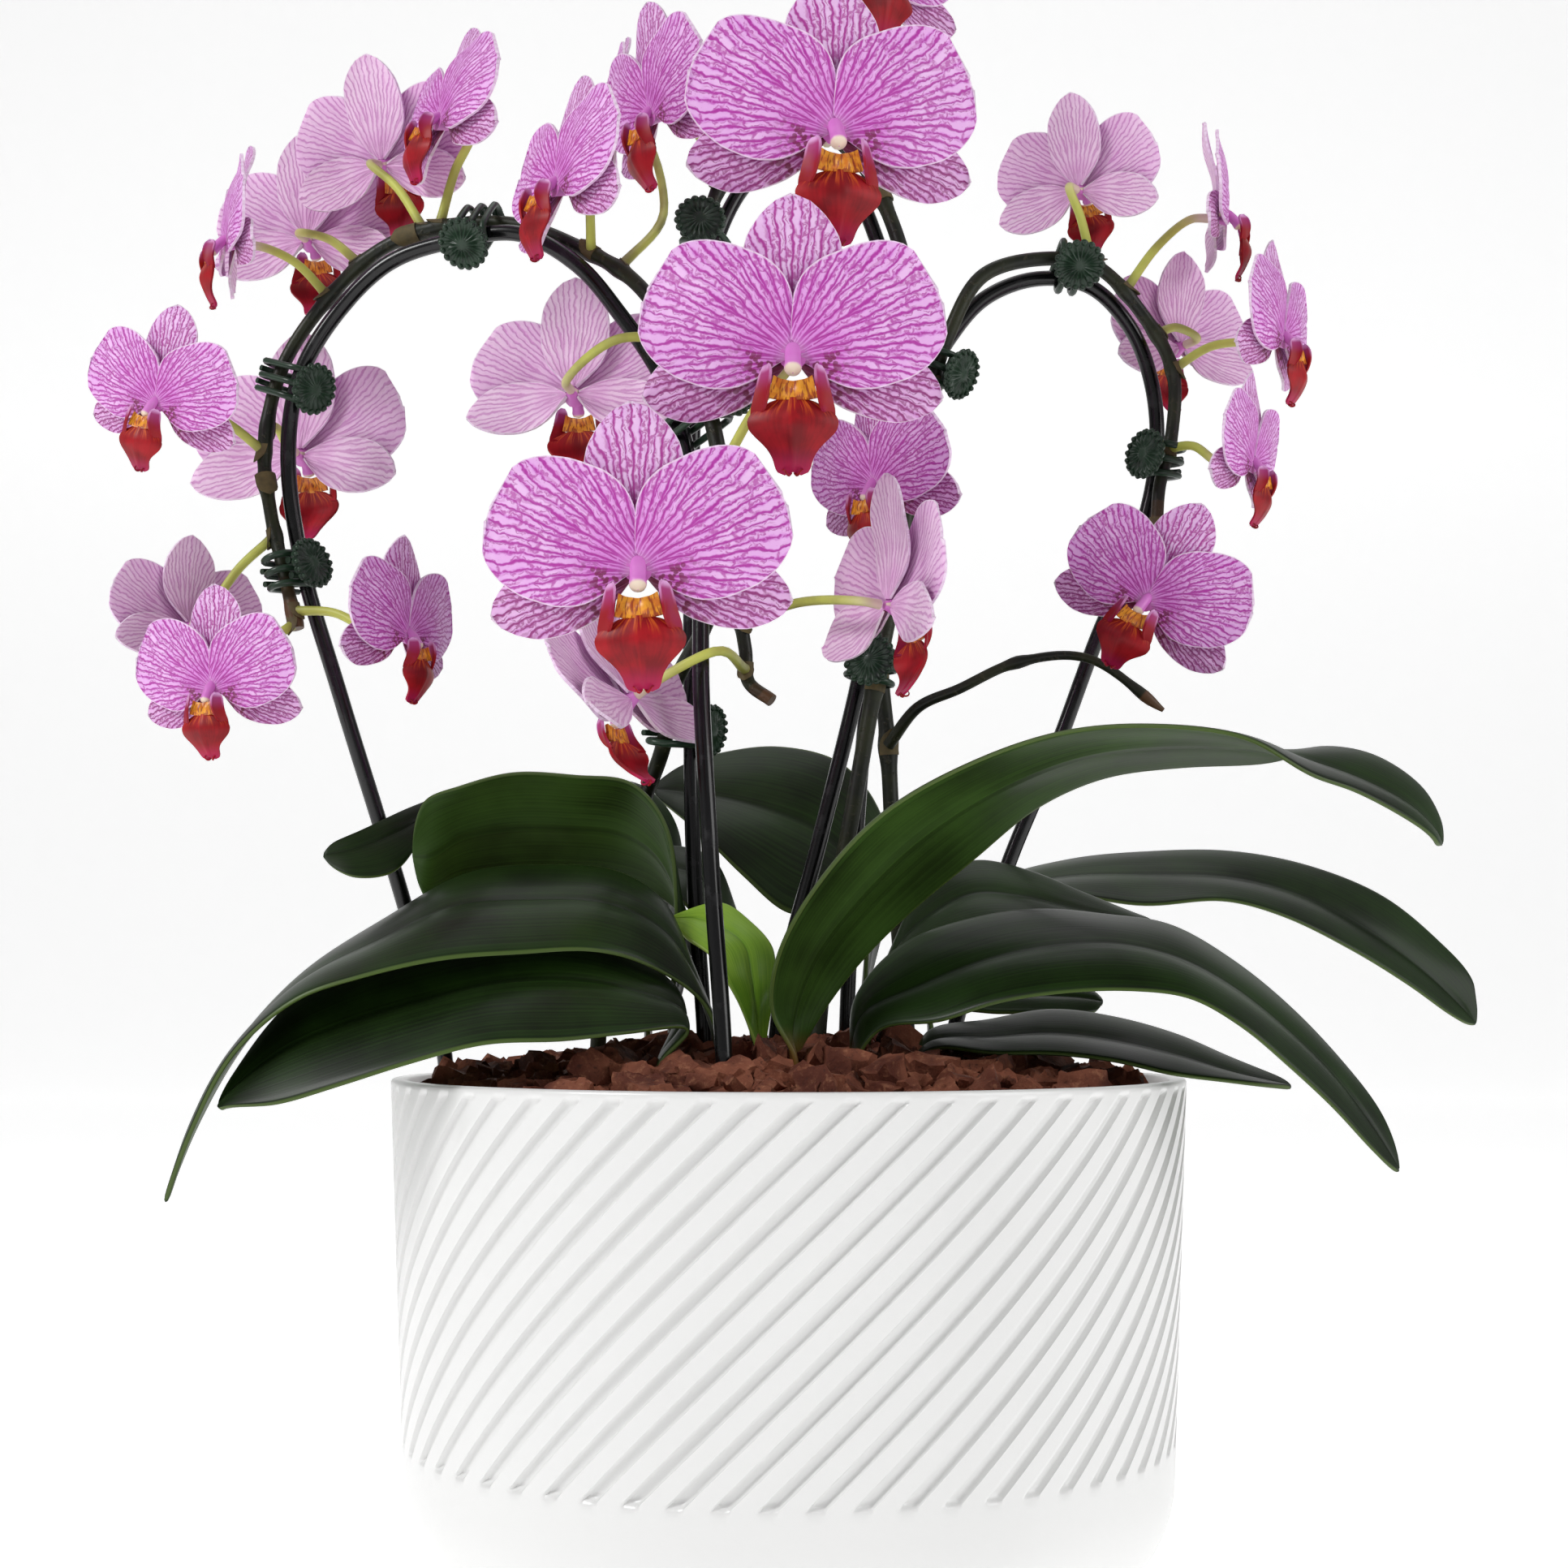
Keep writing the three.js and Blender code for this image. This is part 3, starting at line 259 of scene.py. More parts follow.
class Paint:
    """A material with one Principled shader, whose steady values are given by name."""

    def __init__(self, name, **steady):
        self.material = bpy.data.materials.new(name)
        self.material.use_nodes = True
        self.nodes = self.material.node_tree.nodes
        self.links = self.material.node_tree.links
        self.shader = self.nodes["Principled BSDF"]
        for key, value in steady.items():
            self.shader.inputs[key.replace("_", " ")].default_value = value

    def feed(self, socket, value):
        if isinstance(value, Signal):
            self.links.new(value.socket, socket)
        elif socket.type == "RGBA":
            socket.default_value = (*value, 1)[:4]
        else:
            socket.default_value = value

    def node(self, kind, settings=None, sockets=None, out=0):
        made = self.nodes.new(kind)
        for key, value in (settings or {}).items():
            setattr(made, key, value)
        for key, value in (sockets or {}).items():
            self.feed(made.inputs[key], value)
        return Signal(self, made.outputs[out])

    def place(self):
        """Where a point is on the object, in metres."""
        return self.node("ShaderNodeTexCoord", out="Object")

    def pattern(self, name):
        """One of the piece's own flat patterns as a vector, and its two parts across and along."""
        flat = self.node("ShaderNodeUVMap", {"uv_map": name})
        split = self.nodes.new("ShaderNodeSeparateXYZ")
        self.feed(split.inputs[0], flat)
        return flat, Signal(self, split.outputs[0]), Signal(self, split.outputs[1])

    def sheet_place(self):
        """Where a point is on its sheet or rod, from 0 to 1 across and from 0 to 1 along."""
        return self.pattern("UVMap")[1:]

    def stack(self, x, y):
        """Two numbers as one vector."""
        return self.node("ShaderNodeCombineXYZ", sockets={0: x, 1: y})

    def noise(self, where, scale, detail=3.0, rough=0.5):
        sockets = {"Vector": where, "Scale": scale, "Detail": detail, "Roughness": rough}
        return self.node("ShaderNodeTexNoise", sockets=sockets)

    def cells(self, where, scale, feature="F1", out="Distance"):
        sockets = {"Vector": where, "Scale": scale}
        return self.node("ShaderNodeTexVoronoi", {"feature": feature}, sockets, out)

    def mix(self, share, first, second):
        """From the first colour to the second as the share goes from 0 to 1."""
        return self.node("ShaderNodeMix", {"data_type": "RGBA"}, {0: share, 6: first, 7: second}, 2)

    def finish(self, colour, rough=None, height=None, depth=0.0):
        """Feeds the shader: colour, roughness and a bump of that depth in metres."""
        self.feed(self.shader.inputs["Base Color"], colour)
        if rough is not None:
            self.feed(self.shader.inputs["Roughness"], rough)
        if height is not None:
            bump = self.node("ShaderNodeBump", sockets={"Strength": 1.0, "Distance": depth, "Height": height})
            self.feed(self.shader.inputs["Normal"], bump)
        return self.material


def colour(code):
    """A colour written as on the screen, turned to the linear light that shaders use."""
    parts = [int(code[i : i + 2], 16) / 255 for i in (0, 2, 4)]
    return tuple(c / 12.92 if c <= 0.04045 else ((c + 0.055) / 1.055) ** 2.4 for c in parts)


paper = Paint("studio_paper", Roughness=0.9, Emission_Color=(1, 1, 1, 1), Emission_Strength=0.5)
grain = paper.noise(paper.place(), 30)
floor.data.materials.append(paper.finish(paper.mix(grain, colour("F4F4F4"), colour("FAFAFA"))))
print("paints ready")

# %% [markdown]
# ## The planter
#
# The planter is a thrown-looking bowl of white glazed ceramic with sixty slanting channels round its
# wall. It could be a spun profile, but the channels need many columns of points that follow the slant.
# So the profile is drawn upwards from a circle: each ring is an extrusion of the one below, scaled to
# its radius. Then the rings of the wall are turned a little further the higher they are, and the
# points that lie in a channel are pushed in. Rows close together at the channel's ends keep those ends
# crisp, and rounded shares at the channel's sides give the soft edges that glaze leaves.

# %% Planter profile
POT_COLUMNS = 960
WALL_FOOT, WALL_HEAD = 40, 155  # heights in mm between which the outer wall is straight
WALL_RADIUS, WALL_LEAN = 115, 5  # its radius at the foot, and how much wider it is at the head
FOOT_RADIUS, FOOT_CURVE, INSIDE_CURVE = 75, 40, 35
CHANNELS = 60
CHANNEL_DEPTH = 1.9
CHANNEL_FOOT, CHANNEL_HEAD = 49.0, 153.0  # heights in mm
CHANNEL_START, CHANNEL_TWIST = -1.8, 53.1  # degrees
CHANNEL_MIDDLE, CHANNEL_WIDTH = 0.78, 0.44  # as shares of the pitch
CHANNEL_ROUNDNESS, CHANNEL_FADE = 6, 1.7
ON_THE_WALL = 0.4  # how near in mm a point is to the outer wall to lie on it


def wall_radius(z):
    return WALL_RADIUS + WALL_LEAN * (z - WALL_FOOT) / (WALL_HEAD - WALL_FOOT)


def round_foot(curve, degrees):
    """A point on the round between floor and wall, at an angle up from straight down."""
    a = math.radians(degrees)
    return FOOT_RADIUS + curve * math.sin(a), WALL_FOOT - curve * math.cos(a)


def pot_profile():
    """Radius and height in millimetres, from the middle of the foot, up the wall and down inside."""
    rings = [(58, 1.4), (66, 1.4), (67.5, 0.3), (69, 0), (75, 0)]
    rings += [round_foot(FOOT_CURVE, 7.5 * i) for i in range(1, 12)]
    heights = [40, 43, 46, 48.5, 49.3, 50.0, 50.8]
    heights += [52.4 + 3.2 * i for i in range(31)]
    heights += [150.4, 151.5, 152.2, 153.0, 154.1]
    rings += [(wall_radius(z), z) for z in heights]
    rings += [(119.7, 154.7), (119.2, 155), (116.4, 155), (115.4, 154.8), (115, 154.3), (115, 150)]
    rings += [(114, 140), (112.5, 120), (111, 90), (110, 60), (110, 40)]
    rings += [round_foot(INSIDE_CURVE, 90 - 15 * i) for i in range(1, 7)]
    return rings


def new_ring(points, radius, height, fill):
    """A circle of points in mm at a height, as an object whose own origin stays at the world's."""
    start_fresh()
    place = (0, 0, height * MM)
    bpy.ops.mesh.primitive_circle_add(vertices=points, radius=radius * MM, fill_type=fill, location=place)
    bpy.ops.object.transform_apply(location=True)
    return bpy.context.object


# %% Planter
profile = pot_profile()
radius, height = profile[0]
pot = new_ring(POT_COLUMNS, radius, height, "TRIFAN")
bpy.ops.object.mode_set(mode="EDIT")
bpy.ops.mesh.select_all(action="DESELECT")
bpy.ops.mesh.select_mode(type="EDGE")
bpy.ops.mesh.select_non_manifold()
for wider, higher in profile[1:]:
    bpy.ops.mesh.extrude_edges_move(TRANSFORM_OT_translate={"value": (0, 0, (higher - height) * MM)})
    share = wider / radius
    bpy.ops.transform.resize(value=(share, share, 1), center_override=(0, 0, higher * MM))
    radius, height = wider, higher
bpy.ops.mesh.fill()
bpy.ops.object.mode_set(mode="OBJECT")


def channel_share(turn, z):
    """How deep a channel is, from 0 to 1, at a share of the pitch and at a height."""
    side = abs(turn - CHANNEL_MIDDLE) * 2 / CHANNEL_WIDTH
    across = 1 - min(1.0, side) ** CHANNEL_ROUNDNESS
    foot = min(1.0, max(0.0, (z - CHANNEL_FOOT) / CHANNEL_FADE))
    head = min(1.0, max(0.0, (CHANNEL_HEAD - z) / CHANNEL_FADE))
    return max(0.0, across) * foot * head


pitch = POT_COLUMNS // CHANNELS
for vertex in pot.data.vertices:
    x, y, z = vertex.co / MM
    rise = max(0.0, (z - CHANNEL_FOOT) / (CHANNEL_HEAD - CHANNEL_FOOT))
    turned = math.radians(CHANNEL_START + CHANNEL_TWIST * rise)
    reach, angle = math.hypot(x, y), math.atan2(y, x)
    column = round((math.degrees(angle) + 90) * POT_COLUMNS / 360) % POT_COLUMNS
    if z > CHANNEL_FOOT and abs(reach - wall_radius(z)) < ON_THE_WALL:
        reach -= CHANNEL_DEPTH * channel_share(column % pitch / pitch, z)
    vertex.co = Vector((reach * math.cos(angle + turned), reach * math.sin(angle + turned), z)) * MM
face_out(pot, merge=0.01, smooth=50)
settle(join_up("planter", pot), "planter", "pot")
print("planter", len(pot.data.polygons), "faces")

# %% [markdown]
# The glaze is white with a satin shine. Real glaze is never quite even: it pools a little, so its
# roughness and its tone drift slowly over the bowl and its surface has a faint orange peel.

# %% White glaze
glaze = Paint("white_glaze", Coat_Weight=0.35, Coat_Roughness=0.12, IOR=1.5)
where = glaze.place()
drift = glaze.noise(where, 14, 4)
peel = glaze.noise(where, 420, 2)
tone = glaze.mix(drift, colour("E4E4E3"), colour("EDEDEC"))
pot.data.materials.append(glaze.finish(tone, 0.26 + drift * 0.14, peel, 0.00006))

# %% [markdown]
# ## Curves through points
#
# Hoops, stems and leaves follow smooth lines through a few points, the same lines as in the CAD model:
# centripetal Catmull-Rom curves, which pass through every point without loops. Blender's own curve
# types round corners in another way, so the line is worked out here and laid as many short pieces.


# %% Curves
def run_through(rows):
    """A function from 0..1 to a point in millimetres on the smooth curve through the rows."""
    posts = [Vector(row) for row in rows]
    last = len(posts) - 1

    def at(t):
        place = min(max(t, 0.0), 1.0) * last
        i = min(int(place), last - 1)
        s = place - i
        p1, p2 = posts[i], posts[i + 1]
        p0 = posts[i - 1] if i > 0 else 2 * p1 - p2
        p3 = posts[i + 2] if i + 2 <= last else 2 * p2 - p1
        d1 = (p2 - p1).length_squared ** 0.25 or 1.0
        d0 = (p1 - p0).length_squared ** 0.25 or d1
        d2 = (p3 - p2).length_squared ** 0.25 or d1
        m1 = ((p1 - p0) / d0 - (p2 - p0) / (d0 + d1) + (p2 - p1) / d1) * d1
        m2 = ((p2 - p1) / d1 - (p3 - p1) / (d1 + d2) + (p3 - p2) / d2) * d1
        c2 = -3 * p1 + 3 * p2 - 2 * m1 - m2
        c3 = 2 * p1 - 2 * p2 + m1 + m2
        return p1 + m1 * s + c2 * s * s + c3 * s * s * s

    at.last = last
    return at


def sample(line, radius, steps):
    """A run for lay_rods: evenly spaced points of a line, with the radius that a function gives there."""
    return [(line(i / steps), radius(i / steps)) for i in range(steps + 1)]


def heading(line, t):
    """The direction of a curve at t."""
    step = 1e-4
    return (line(min(1.0, t + step)) - line(max(0.0, t - step))).normalized()


def lay_rods(name, runs, sides):
    """Round rods along runs of (point in mm, radius in mm), as one mesh made from a bevelled curve."""
    curve = bpy.data.curves.new(name, "CURVE")
    curve.dimensions = "3D"
    curve.bevel_depth = MM
    curve.bevel_resolution = sides
    curve.use_fill_caps = True
    for run in runs:
        spline = curve.splines.new("POLY")
        spline.points.add(len(run) - 1)
        for point, (where, radius) in zip(spline.points, run):
            point.co = (*(where * MM), 1)
            point.radius = radius
    rods = bpy.data.objects.new(name, curve)
    bpy.context.scene.collection.objects.link(rods)
    choose(rods)
    bpy.ops.object.convert(target="MESH")
    rods = bpy.context.object
    face_out(rods, merge=0.001, smooth=50)
    return rods


def mark_way(rods, runs, step=1):
    """Keeps on the rods' own pattern how far along its run each point lies, from 0 to 1.

    Only every step-th point of a run is looked at."""
    stops = [(run[i][0] * MM, i / (len(run) - 1)) for run in runs for i in range(0, len(run), step)]
    shares = []
    for vertex in rods.data.vertices:
        nearest = min(stops, key=lambda stop: (stop[0] - vertex.co).length_squared)
        shares.append(nearest[1])
    spread = rods.data.uv_layers.get("UVMap") or rods.data.uv_layers.new(name="UVMap")
    for loop in rods.data.loops:
        spread.data[loop.index].uv = (0.5, shares[loop.vertex_index])


# %% [markdown]
# ## The hoops
#
# Each flower stem is led over a hoop of black rod, about 5 mm thick, with both ends pushed into the
# bark. A curve with a round bevel is the quickest true rod. Its ends stop inside the bark.

# %% Hoop lines
HOOPS = {
    "hoop_left": [
        (-106, 14, 110), (-107, 12, 161), (-119, 8, 206), (-139, 0, 272), (-151, -5, 314), (-155, -8, 347),
        (-151, -12, 370), (-139, -16, 389), (-122, -22, 403), (-101, -28, 408), (-81, -34, 408),
        (-63, -38, 397), (-50, -41, 381), (-38, -45, 362), (-30, -49, 339), (-26, -51, 305),
        (-25, -56, 265), (-22, -62, 217), (-18, -68, 161), (-17, -69, 110),
    ],
    "hoop_center": [
        (-24, -8, 110), (-25, -8, 159), (-29, -8, 221), (-30, -8, 281), (-30, -6, 332), (-29, -2, 374),
        (-24, 4, 415), (-12, 8, 440), (4, 10, 449), (18, 6, 440), (28, 0, 417), (34, -5, 387),
        (34, -9, 358), (30, -13, 324), (22, -16, 278), (9, -16, 225), (-2, -15, 181), (-7, -15, 110),
    ],
    "hoop_right": [
        (18, 22, 110), (18, 22, 158), (21, 20, 222), (25, 16, 274), (29, 12, 315), (34, 8, 342),
        (41, 4, 368), (50, 2, 385), (62, 2, 399), (79, 4, 406), (96, 6, 404), (109, 8, 391),
        (116, 10, 372), (117, 12, 349), (111, 13, 323), (98, 13, 293), (84, 13, 256), (68, 13, 218),
        (50, 13, 160), (49, 13, 110),
    ],
}
hoop_lines = {name: run_through(rows) for name, rows in HOOPS.items()}

# %% Hoops
HOOP_RADIUS = 2.45
HOOP_STEPS = 190

black = Paint("black_lacquer", Coat_Weight=0.3, Coat_Roughness=0.1, Specular_IOR_Level=0.3)
where = black.place()
scuff = black.noise(where, 160, 5).rise(0.55, 0.75)
tone = black.mix(scuff, colour("08080A"), colour("1A1A1C"))
black.finish(tone, 0.24 + scuff * 0.25, black.noise(where, 700), 0.00003)
for name, line in hoop_lines.items():
    rod = lay_rods(name + "_rod", [sample(line, lambda t: HOOP_RADIUS, HOOP_STEPS)], sides=5)
    rod.data.materials.append(black.material)
    settle(rod, "hoop", name)
    print(name, len(rod.data.polygons), "faces")

# %% [markdown]
# ## The flower stems
#
# Three stems rise beside the hoops and arch over with them. On each sit short stalks that carry one
# flower each. The stem is a rod that thins towards its tip and swells a little at every joint, and a
# dry scale clasps it where a stalk leaves. Stem, stalks and scales grow as one piece, so they are laid
# as rods and small bent sheets and then joined.

# %% Stem and flower tables
SPIKES = {
    "spike_left": [
        (-61, 31, 110), (-61, 31, 158), (-57, 26, 204), (-46, 8, 238), (-38, -12, 256), (-35, -18, 272),
        (-25, -36, 288), (-17, -54, 308), (-19, -59, 328), (-24, -57, 351), (-33, -51, 371), (-46, -42, 391),
        (-63, -33, 404), (-82, -27, 413), (-103, -21, 415), (-125, -15, 410), (-143, -9, 396),
        (-158, -6, 374), (-163, -5, 348), (-160, -8, 328), (-155, -12, 310), (-150, -14, 291),
    ],
    "spike_center": [
        (8, -30, 110), (8, -30, 160), (11, -28, 191), (19, -26, 234), (26, -25, 273), (35, -21, 319),
        (39, -17, 356), (39, -12, 388), (33, -7, 419), (21, 0, 445), (4, 3, 458), (-15, 2, 446),
        (-28, -3, 416), (-34, -8, 373), (-33, -16, 335), (-25, -22, 311), (-16, -26, 296),
        (-13, -26, 283), (-12, -27, 273), (-5, -30, 267),
    ],
    "spike_right": [
        (37, 6, 110), (37, 6, 159), (33, 6, 216), (31, 5, 257), (29, 4, 282), (31, 3, 308),
        (37, 0, 338), (43, -3, 363), (50, -7, 385), (61, -6, 404), (81, -4, 410), (97, -2, 408),
        (111, 0, 394), (121, 2, 376), (121, 4, 357), (117, 6, 339), (116, 6, 326),
    ],
}
SIDE_BRANCH = [(31, 2, 257), (40, -6, 268), (52, -10, 273), (70, -12, 281), (91, -14, 282), (114, -14, 266)]
STEM_JOINTS = {"spike_left": [6.6, 14.6, 18.5], "spike_center": [4, 8.4], "spike_right": [3, 7.2]}
spike_lines = {name: run_through(rows) for name, rows in SPIKES.items()}

# number, centre in mm, full width, turn to the right, tilt up, roll, stem, place along it in its points
BLOOMS = [
    (1, (22, -40, 490), 81, 35, 10, 0, "spike_center", 9.2),
    (2, (13, -72, 425), 86, 10, -5, 0, "spike_center", 10),
    (3, (1, -96, 353), 85, 0, -4, 0, "spike_left", 8.1),
    (4, (-39, -124, 289), 81, 0, -6, -3, "spike_left", 7.6),
    (5, (-169, -40, 269), 56, -20, -10, 0, "spike_left", 20.9),
    (6, (-113, -32, 286), 55, 65, -5, 0, "spike_left", 20.7),
    (7, (-190, -32, 356), 55, -25, -10, 15, "spike_left", 18),
    (8, (-158, 28, 354), 74, 165, -5, 0, "spike_left", 17.7),
    (9, (-175, -10, 413), 58, -70, 0, 0, "spike_left", 16),
    (10, (-157, 30, 426), 64, 170, 0, 0, "spike_left", 15.4),
    (11, (-129, 10, 445), 62, 160, 15, 0, "spike_left", 14.4),
    (12, (-107, -26, 446), 61, -55, 10, 0, "spike_left", 14.2),
    (13, (-67, -67, 411), 64, -58, 5, 0, "spike_left", 11.8),
    (14, (-42, -28, 447), 64, -60, -10, 0, "spike_center", 11.4),
    (15, (-65, -22, 361), 66, 170, -10, 0, "spike_left", 10),
    (16, (25, -46, 328), 59, -50, -10, 0, "spike_center", 5.6),
    (17, (30, -72, 288), 68, 115, -5, 0, "spike_center", 16.4),
    (18, (-47, -59, 262), 66, -120, -30, 0, "spike_center", 17.6),
    (19, (93, 0, 433), 55, 150, 10, 0, "spike_right", 10.9),
    (20, (139, 4, 426), 57, 80, 0, 0, "spike_right", 11.6),
    (21, (155, -4, 384), 58, 60, -5, 0, "spike_right", 13),
    (22, (128, 36, 392), 57, -150, -5, 0, "spike_right", 12.4),
    (23, (141, -22, 340), 52, 60, -10, 0, "spike_right", 14.3),
    (24, (106, -34, 296), 60, -20, -5, 30, "spike_right", 15.9),
    (25, (-187, -2, 293), 52, -140, -5, 0, "spike_left", 19.4),
    (26, (-59, 24, 461), 60, -80, 0, 0, "spike_left", 11.3),
]
STALK_BOWS = {15: (0, -12, 3), 18: (4, -22, 4), 26: (10, 10, 0)}


def bloom_frame(centre, turn, tilt, roll):
    """From a flower's own axes (x right, z up, front -y) to its place on the plant, in millimetres."""
    turned = Matrix.Rotation(math.radians(turn), 4, "Z")
    tilted = Matrix.Rotation(math.radians(-tilt), 4, "X")
    rolled = Matrix.Rotation(math.radians(roll), 4, "Y")
    return Matrix.Translation(centre) @ turned @ tilted @ rolled


# %% [markdown]
# The stem is a very dark mottled green, and brown at its cut tip. The stalks are a fresh yellow-green
# that browns towards the stem and turns a pale pink towards the flower. Noise on the object's own
# coordinates mottles both, and the rods' own pattern says how far along a point lies.

# %% Stem finishes
stem_skin = Paint("stem_skin", Coat_Weight=0.08, Coat_Roughness=0.25, Specular_IOR_Level=0.35)
where = stem_skin.place()
way = stem_skin.sheet_place()[1]
mottle = stem_skin.noise(where, 90, 5)
fleck = stem_skin.noise(where, 600, 3).rise(0.58, 0.7)
tone = stem_skin.mix(mottle.rise(0.35, 0.65), colour("10150A"), colour("22270F"))
tone = stem_skin.mix(fleck * 0.3, tone, colour("443E24"))
tone = stem_skin.mix(way.rise(0.955, 0.99) * 0.8, tone, colour("5E4026"))
stem_skin.finish(tone, 0.36 + mottle * 0.2, fleck + mottle, 0.00012)

stalk_skin = Paint("stalk_skin")
where = stalk_skin.place()
way = stalk_skin.sheet_place()[1]
mottle = stalk_skin.noise(where, 60, 4)
tone = stalk_skin.mix(mottle.rise(0.4, 0.7), colour("C2C85C"), colour("A4A44C"))
tone = stalk_skin.mix(way.rise(0.45, 0.95) * 0.85, tone, colour("E4CBC4"))
tone = stalk_skin.mix(way.rise(0.14, 0.02) * 0.7, tone, colour("6E6A30"))
stalk_skin.finish(tone, 0.42 + mottle * 0.15, stalk_skin.noise(where, 800), 0.00005)

dry_scale = Paint("dry_scale")
fibre = dry_scale.noise(dry_scale.place(), 500, 4)
tone = dry_scale.mix(fibre, colour("34301A"), colour("70603A"))
dry_scale.finish(tone, 0.6 + fibre * 0.2, fibre, 0.0001)


# %% Bent sheets
def lay_sheet(name, across, along, form, flat=None):
    """A grid bent to form(u, v) in metres; u runs from -1 to 1 across and v from 0 to 1 along.

    Its own pattern keeps u and v, and a second pattern keeps flat(u, v) where that is given."""
    start_fresh()
    bpy.ops.mesh.primitive_grid_add(x_subdivisions=across, y_subdivisions=along, size=2)
    made = bpy.context.object
    made.name = name
    if flat:
        spread = made.data.uv_layers.new(name="spread")
        for loop in made.data.loops:
            at = made.data.vertices[loop.vertex_index].co
            spread.data[loop.index].uv = flat(at.x, (at.y + 1) / 2)
        made.data.uv_layers[0].active = True
    for vertex in made.data.vertices:
        vertex.co = form(vertex.co.x, (vertex.co.y + 1) / 2)
    made.data.update()
    return made


def thicken(sheet, thickness, smooth=0, back=1):
    """A sheet given thickness on both sides, its back in the next material."""
    choose(sheet)
    solid = sheet.modifiers.new("thickness", "SOLIDIFY")
    solid.thickness = thickness * MM
    solid.offset = 0
    solid.material_offset = back
    bpy.ops.object.modifier_apply(modifier=solid.name)
    if smooth:
        finer = sheet.modifiers.new("smooth", "SUBSURF")
        finer.levels = finer.render_levels = smooth
        bpy.ops.object.modifier_apply(modifier=finer.name)
    bpy.ops.object.shade_smooth_by_angle(angle=math.radians(60))
    return sheet


def through(rows):
    """A smooth function through rows of (place, value), by tangents that never overshoot."""
    xs, ys = [r[0] for r in rows], [r[1] for r in rows]
    slopes = [(ys[i + 1] - ys[i]) / (xs[i + 1] - xs[i]) for i in range(len(xs) - 1)]
    between = [0 if a * b <= 0 else 2 * a * b / (a + b) for a, b in zip(slopes, slopes[1:])]
    leans = [slopes[0], *between, slopes[-1]]

    def at(x):
        x = min(max(x, xs[0]), xs[-1])
        i = max(k for k in range(len(xs) - 1) if xs[k] <= x or k == 0)
        h = xs[i + 1] - xs[i]
        t = (x - xs[i]) / h
        first = (1 + 2 * t) * (1 - t) ** 2 * ys[i] + t * (1 - t) ** 2 * h * leans[i]
        return first + t * t * (3 - 2 * t) * ys[i + 1] + t * t * (t - 1) * h * leans[i + 1]

    return at


# %% Stems, stalks and scales
STEM_STEPS, BRANCH_STEPS, STALK_STEPS = 260, 60, 22
STALK_END, STALK_NECK = Vector((0, 5.2, 0)), Vector((0, 10.85, 0))  # behind a flower, in its own axes
JOINT_SWELL, STALK_SWELL, MOST_SWELL = 0.8, 0.45, 0.9  # in mm
SWELL_LENGTH = 3.5
SCALE_THICKNESS = 0.35
stalk_girth = through([(0, 1.75), (0.12, 1.45), (0.7, 1.35), (1, 1.5)])
branch_girth = through([(0, 1.9), (0.55, 1.6), (0.6, 2.1), (0.65, 1.5), (0.9, 1.4), (0.95, 1.9), (1, 0.7)])
scale_outline = through([(0, 1), (0.5, 0.8), (0.85, 0.4), (1, 0.05)])


def bare_stem(t):
    """The radius in mm of a stem between its joints."""
    return 2.6 - 0.6 * t


def swollen_stem(line, swellings):
    """The radius in mm along a stem that swells at some places, given as (place, height) pairs."""
    length = sum((line(i / 60) - line((i + 1) / 60)).length for i in range(60))

    def at(t):
        swell = sum(high * math.exp(-(((t - spot) * length / SWELL_LENGTH) ** 2)) for spot, high in swellings)
        return bare_stem(t) + min(swell, MOST_SWELL)

    return at


def stem_scale(line, t, away, length, radius):
    """A dry scale that clasps the stem just below a joint and points along it."""
    up = heading(line, t)
    side = (away - away.dot(up) * up).normalized()
    round_it = up.cross(side)

    def form(u, v):
        angle = u * 1.5 * scale_outline(v)
        reach = radius + SCALE_THICKNESS + 0.9 * v * v
        outwards = side * math.cos(angle) + round_it * math.sin(angle)
        return (line(t) + up * (length * (v - 0.35)) + outwards * reach) * MM

    scale = lay_sheet("scale", 6, 5, form)
    scale.data.materials.append(dry_scale.material)
    return thicken(scale, SCALE_THICKNESS, back=0)


for name, line in spike_lines.items():
    roots, stalks, scales = [], [], []
    for number, centre, _, turn, tilt, roll, spike, place in BLOOMS:
        if spike != name:
            continue
        t = place / line.last
        roots.append(t)
        where = bloom_frame(centre, turn, tilt, roll)
        end, before = where @ STALK_END, where @ STALK_NECK
        middle = (line(t) + before) / 2 + Vector(STALK_BOWS.get(number, (0, 0, 3)))
        stalks.append(sample(run_through([line(t), middle, before, end]), stalk_girth, STALK_STEPS))
        scales.append(stem_scale(line, t, middle - line(t), 6, bare_stem(t)))
    joints = [place / line.last for place in STEM_JOINTS[name]]
    swellings = [(t, JOINT_SWELL) for t in joints] + [(t, STALK_SWELL) for t in roots]
    runs = [sample(line, swollen_stem(line, swellings), STEM_STEPS)]
    if name == "spike_right":
        runs.append(sample(run_through(SIDE_BRANCH), branch_girth, BRANCH_STEPS))
    stem = lay_rods(name + "_stem", runs, sides=5)
    stem.data.materials.append(stem_skin.material)
    mark_way(stem, runs, 6)
    carried = lay_rods("stalks", stalks, sides=3)
    carried.data.materials.append(stalk_skin.material)
    mark_way(carried, stalks)
    for t in joints:
        scales.append(stem_scale(line, t, Vector((0.4, -1, 0)), 8, 2.8))
    whole = join_up(name + "_stem", stem, carried, *scales)
    settle(whole, "stem", name)
    print(name, len(stalks), "stalks,", len(whole.data.polygons), "faces")

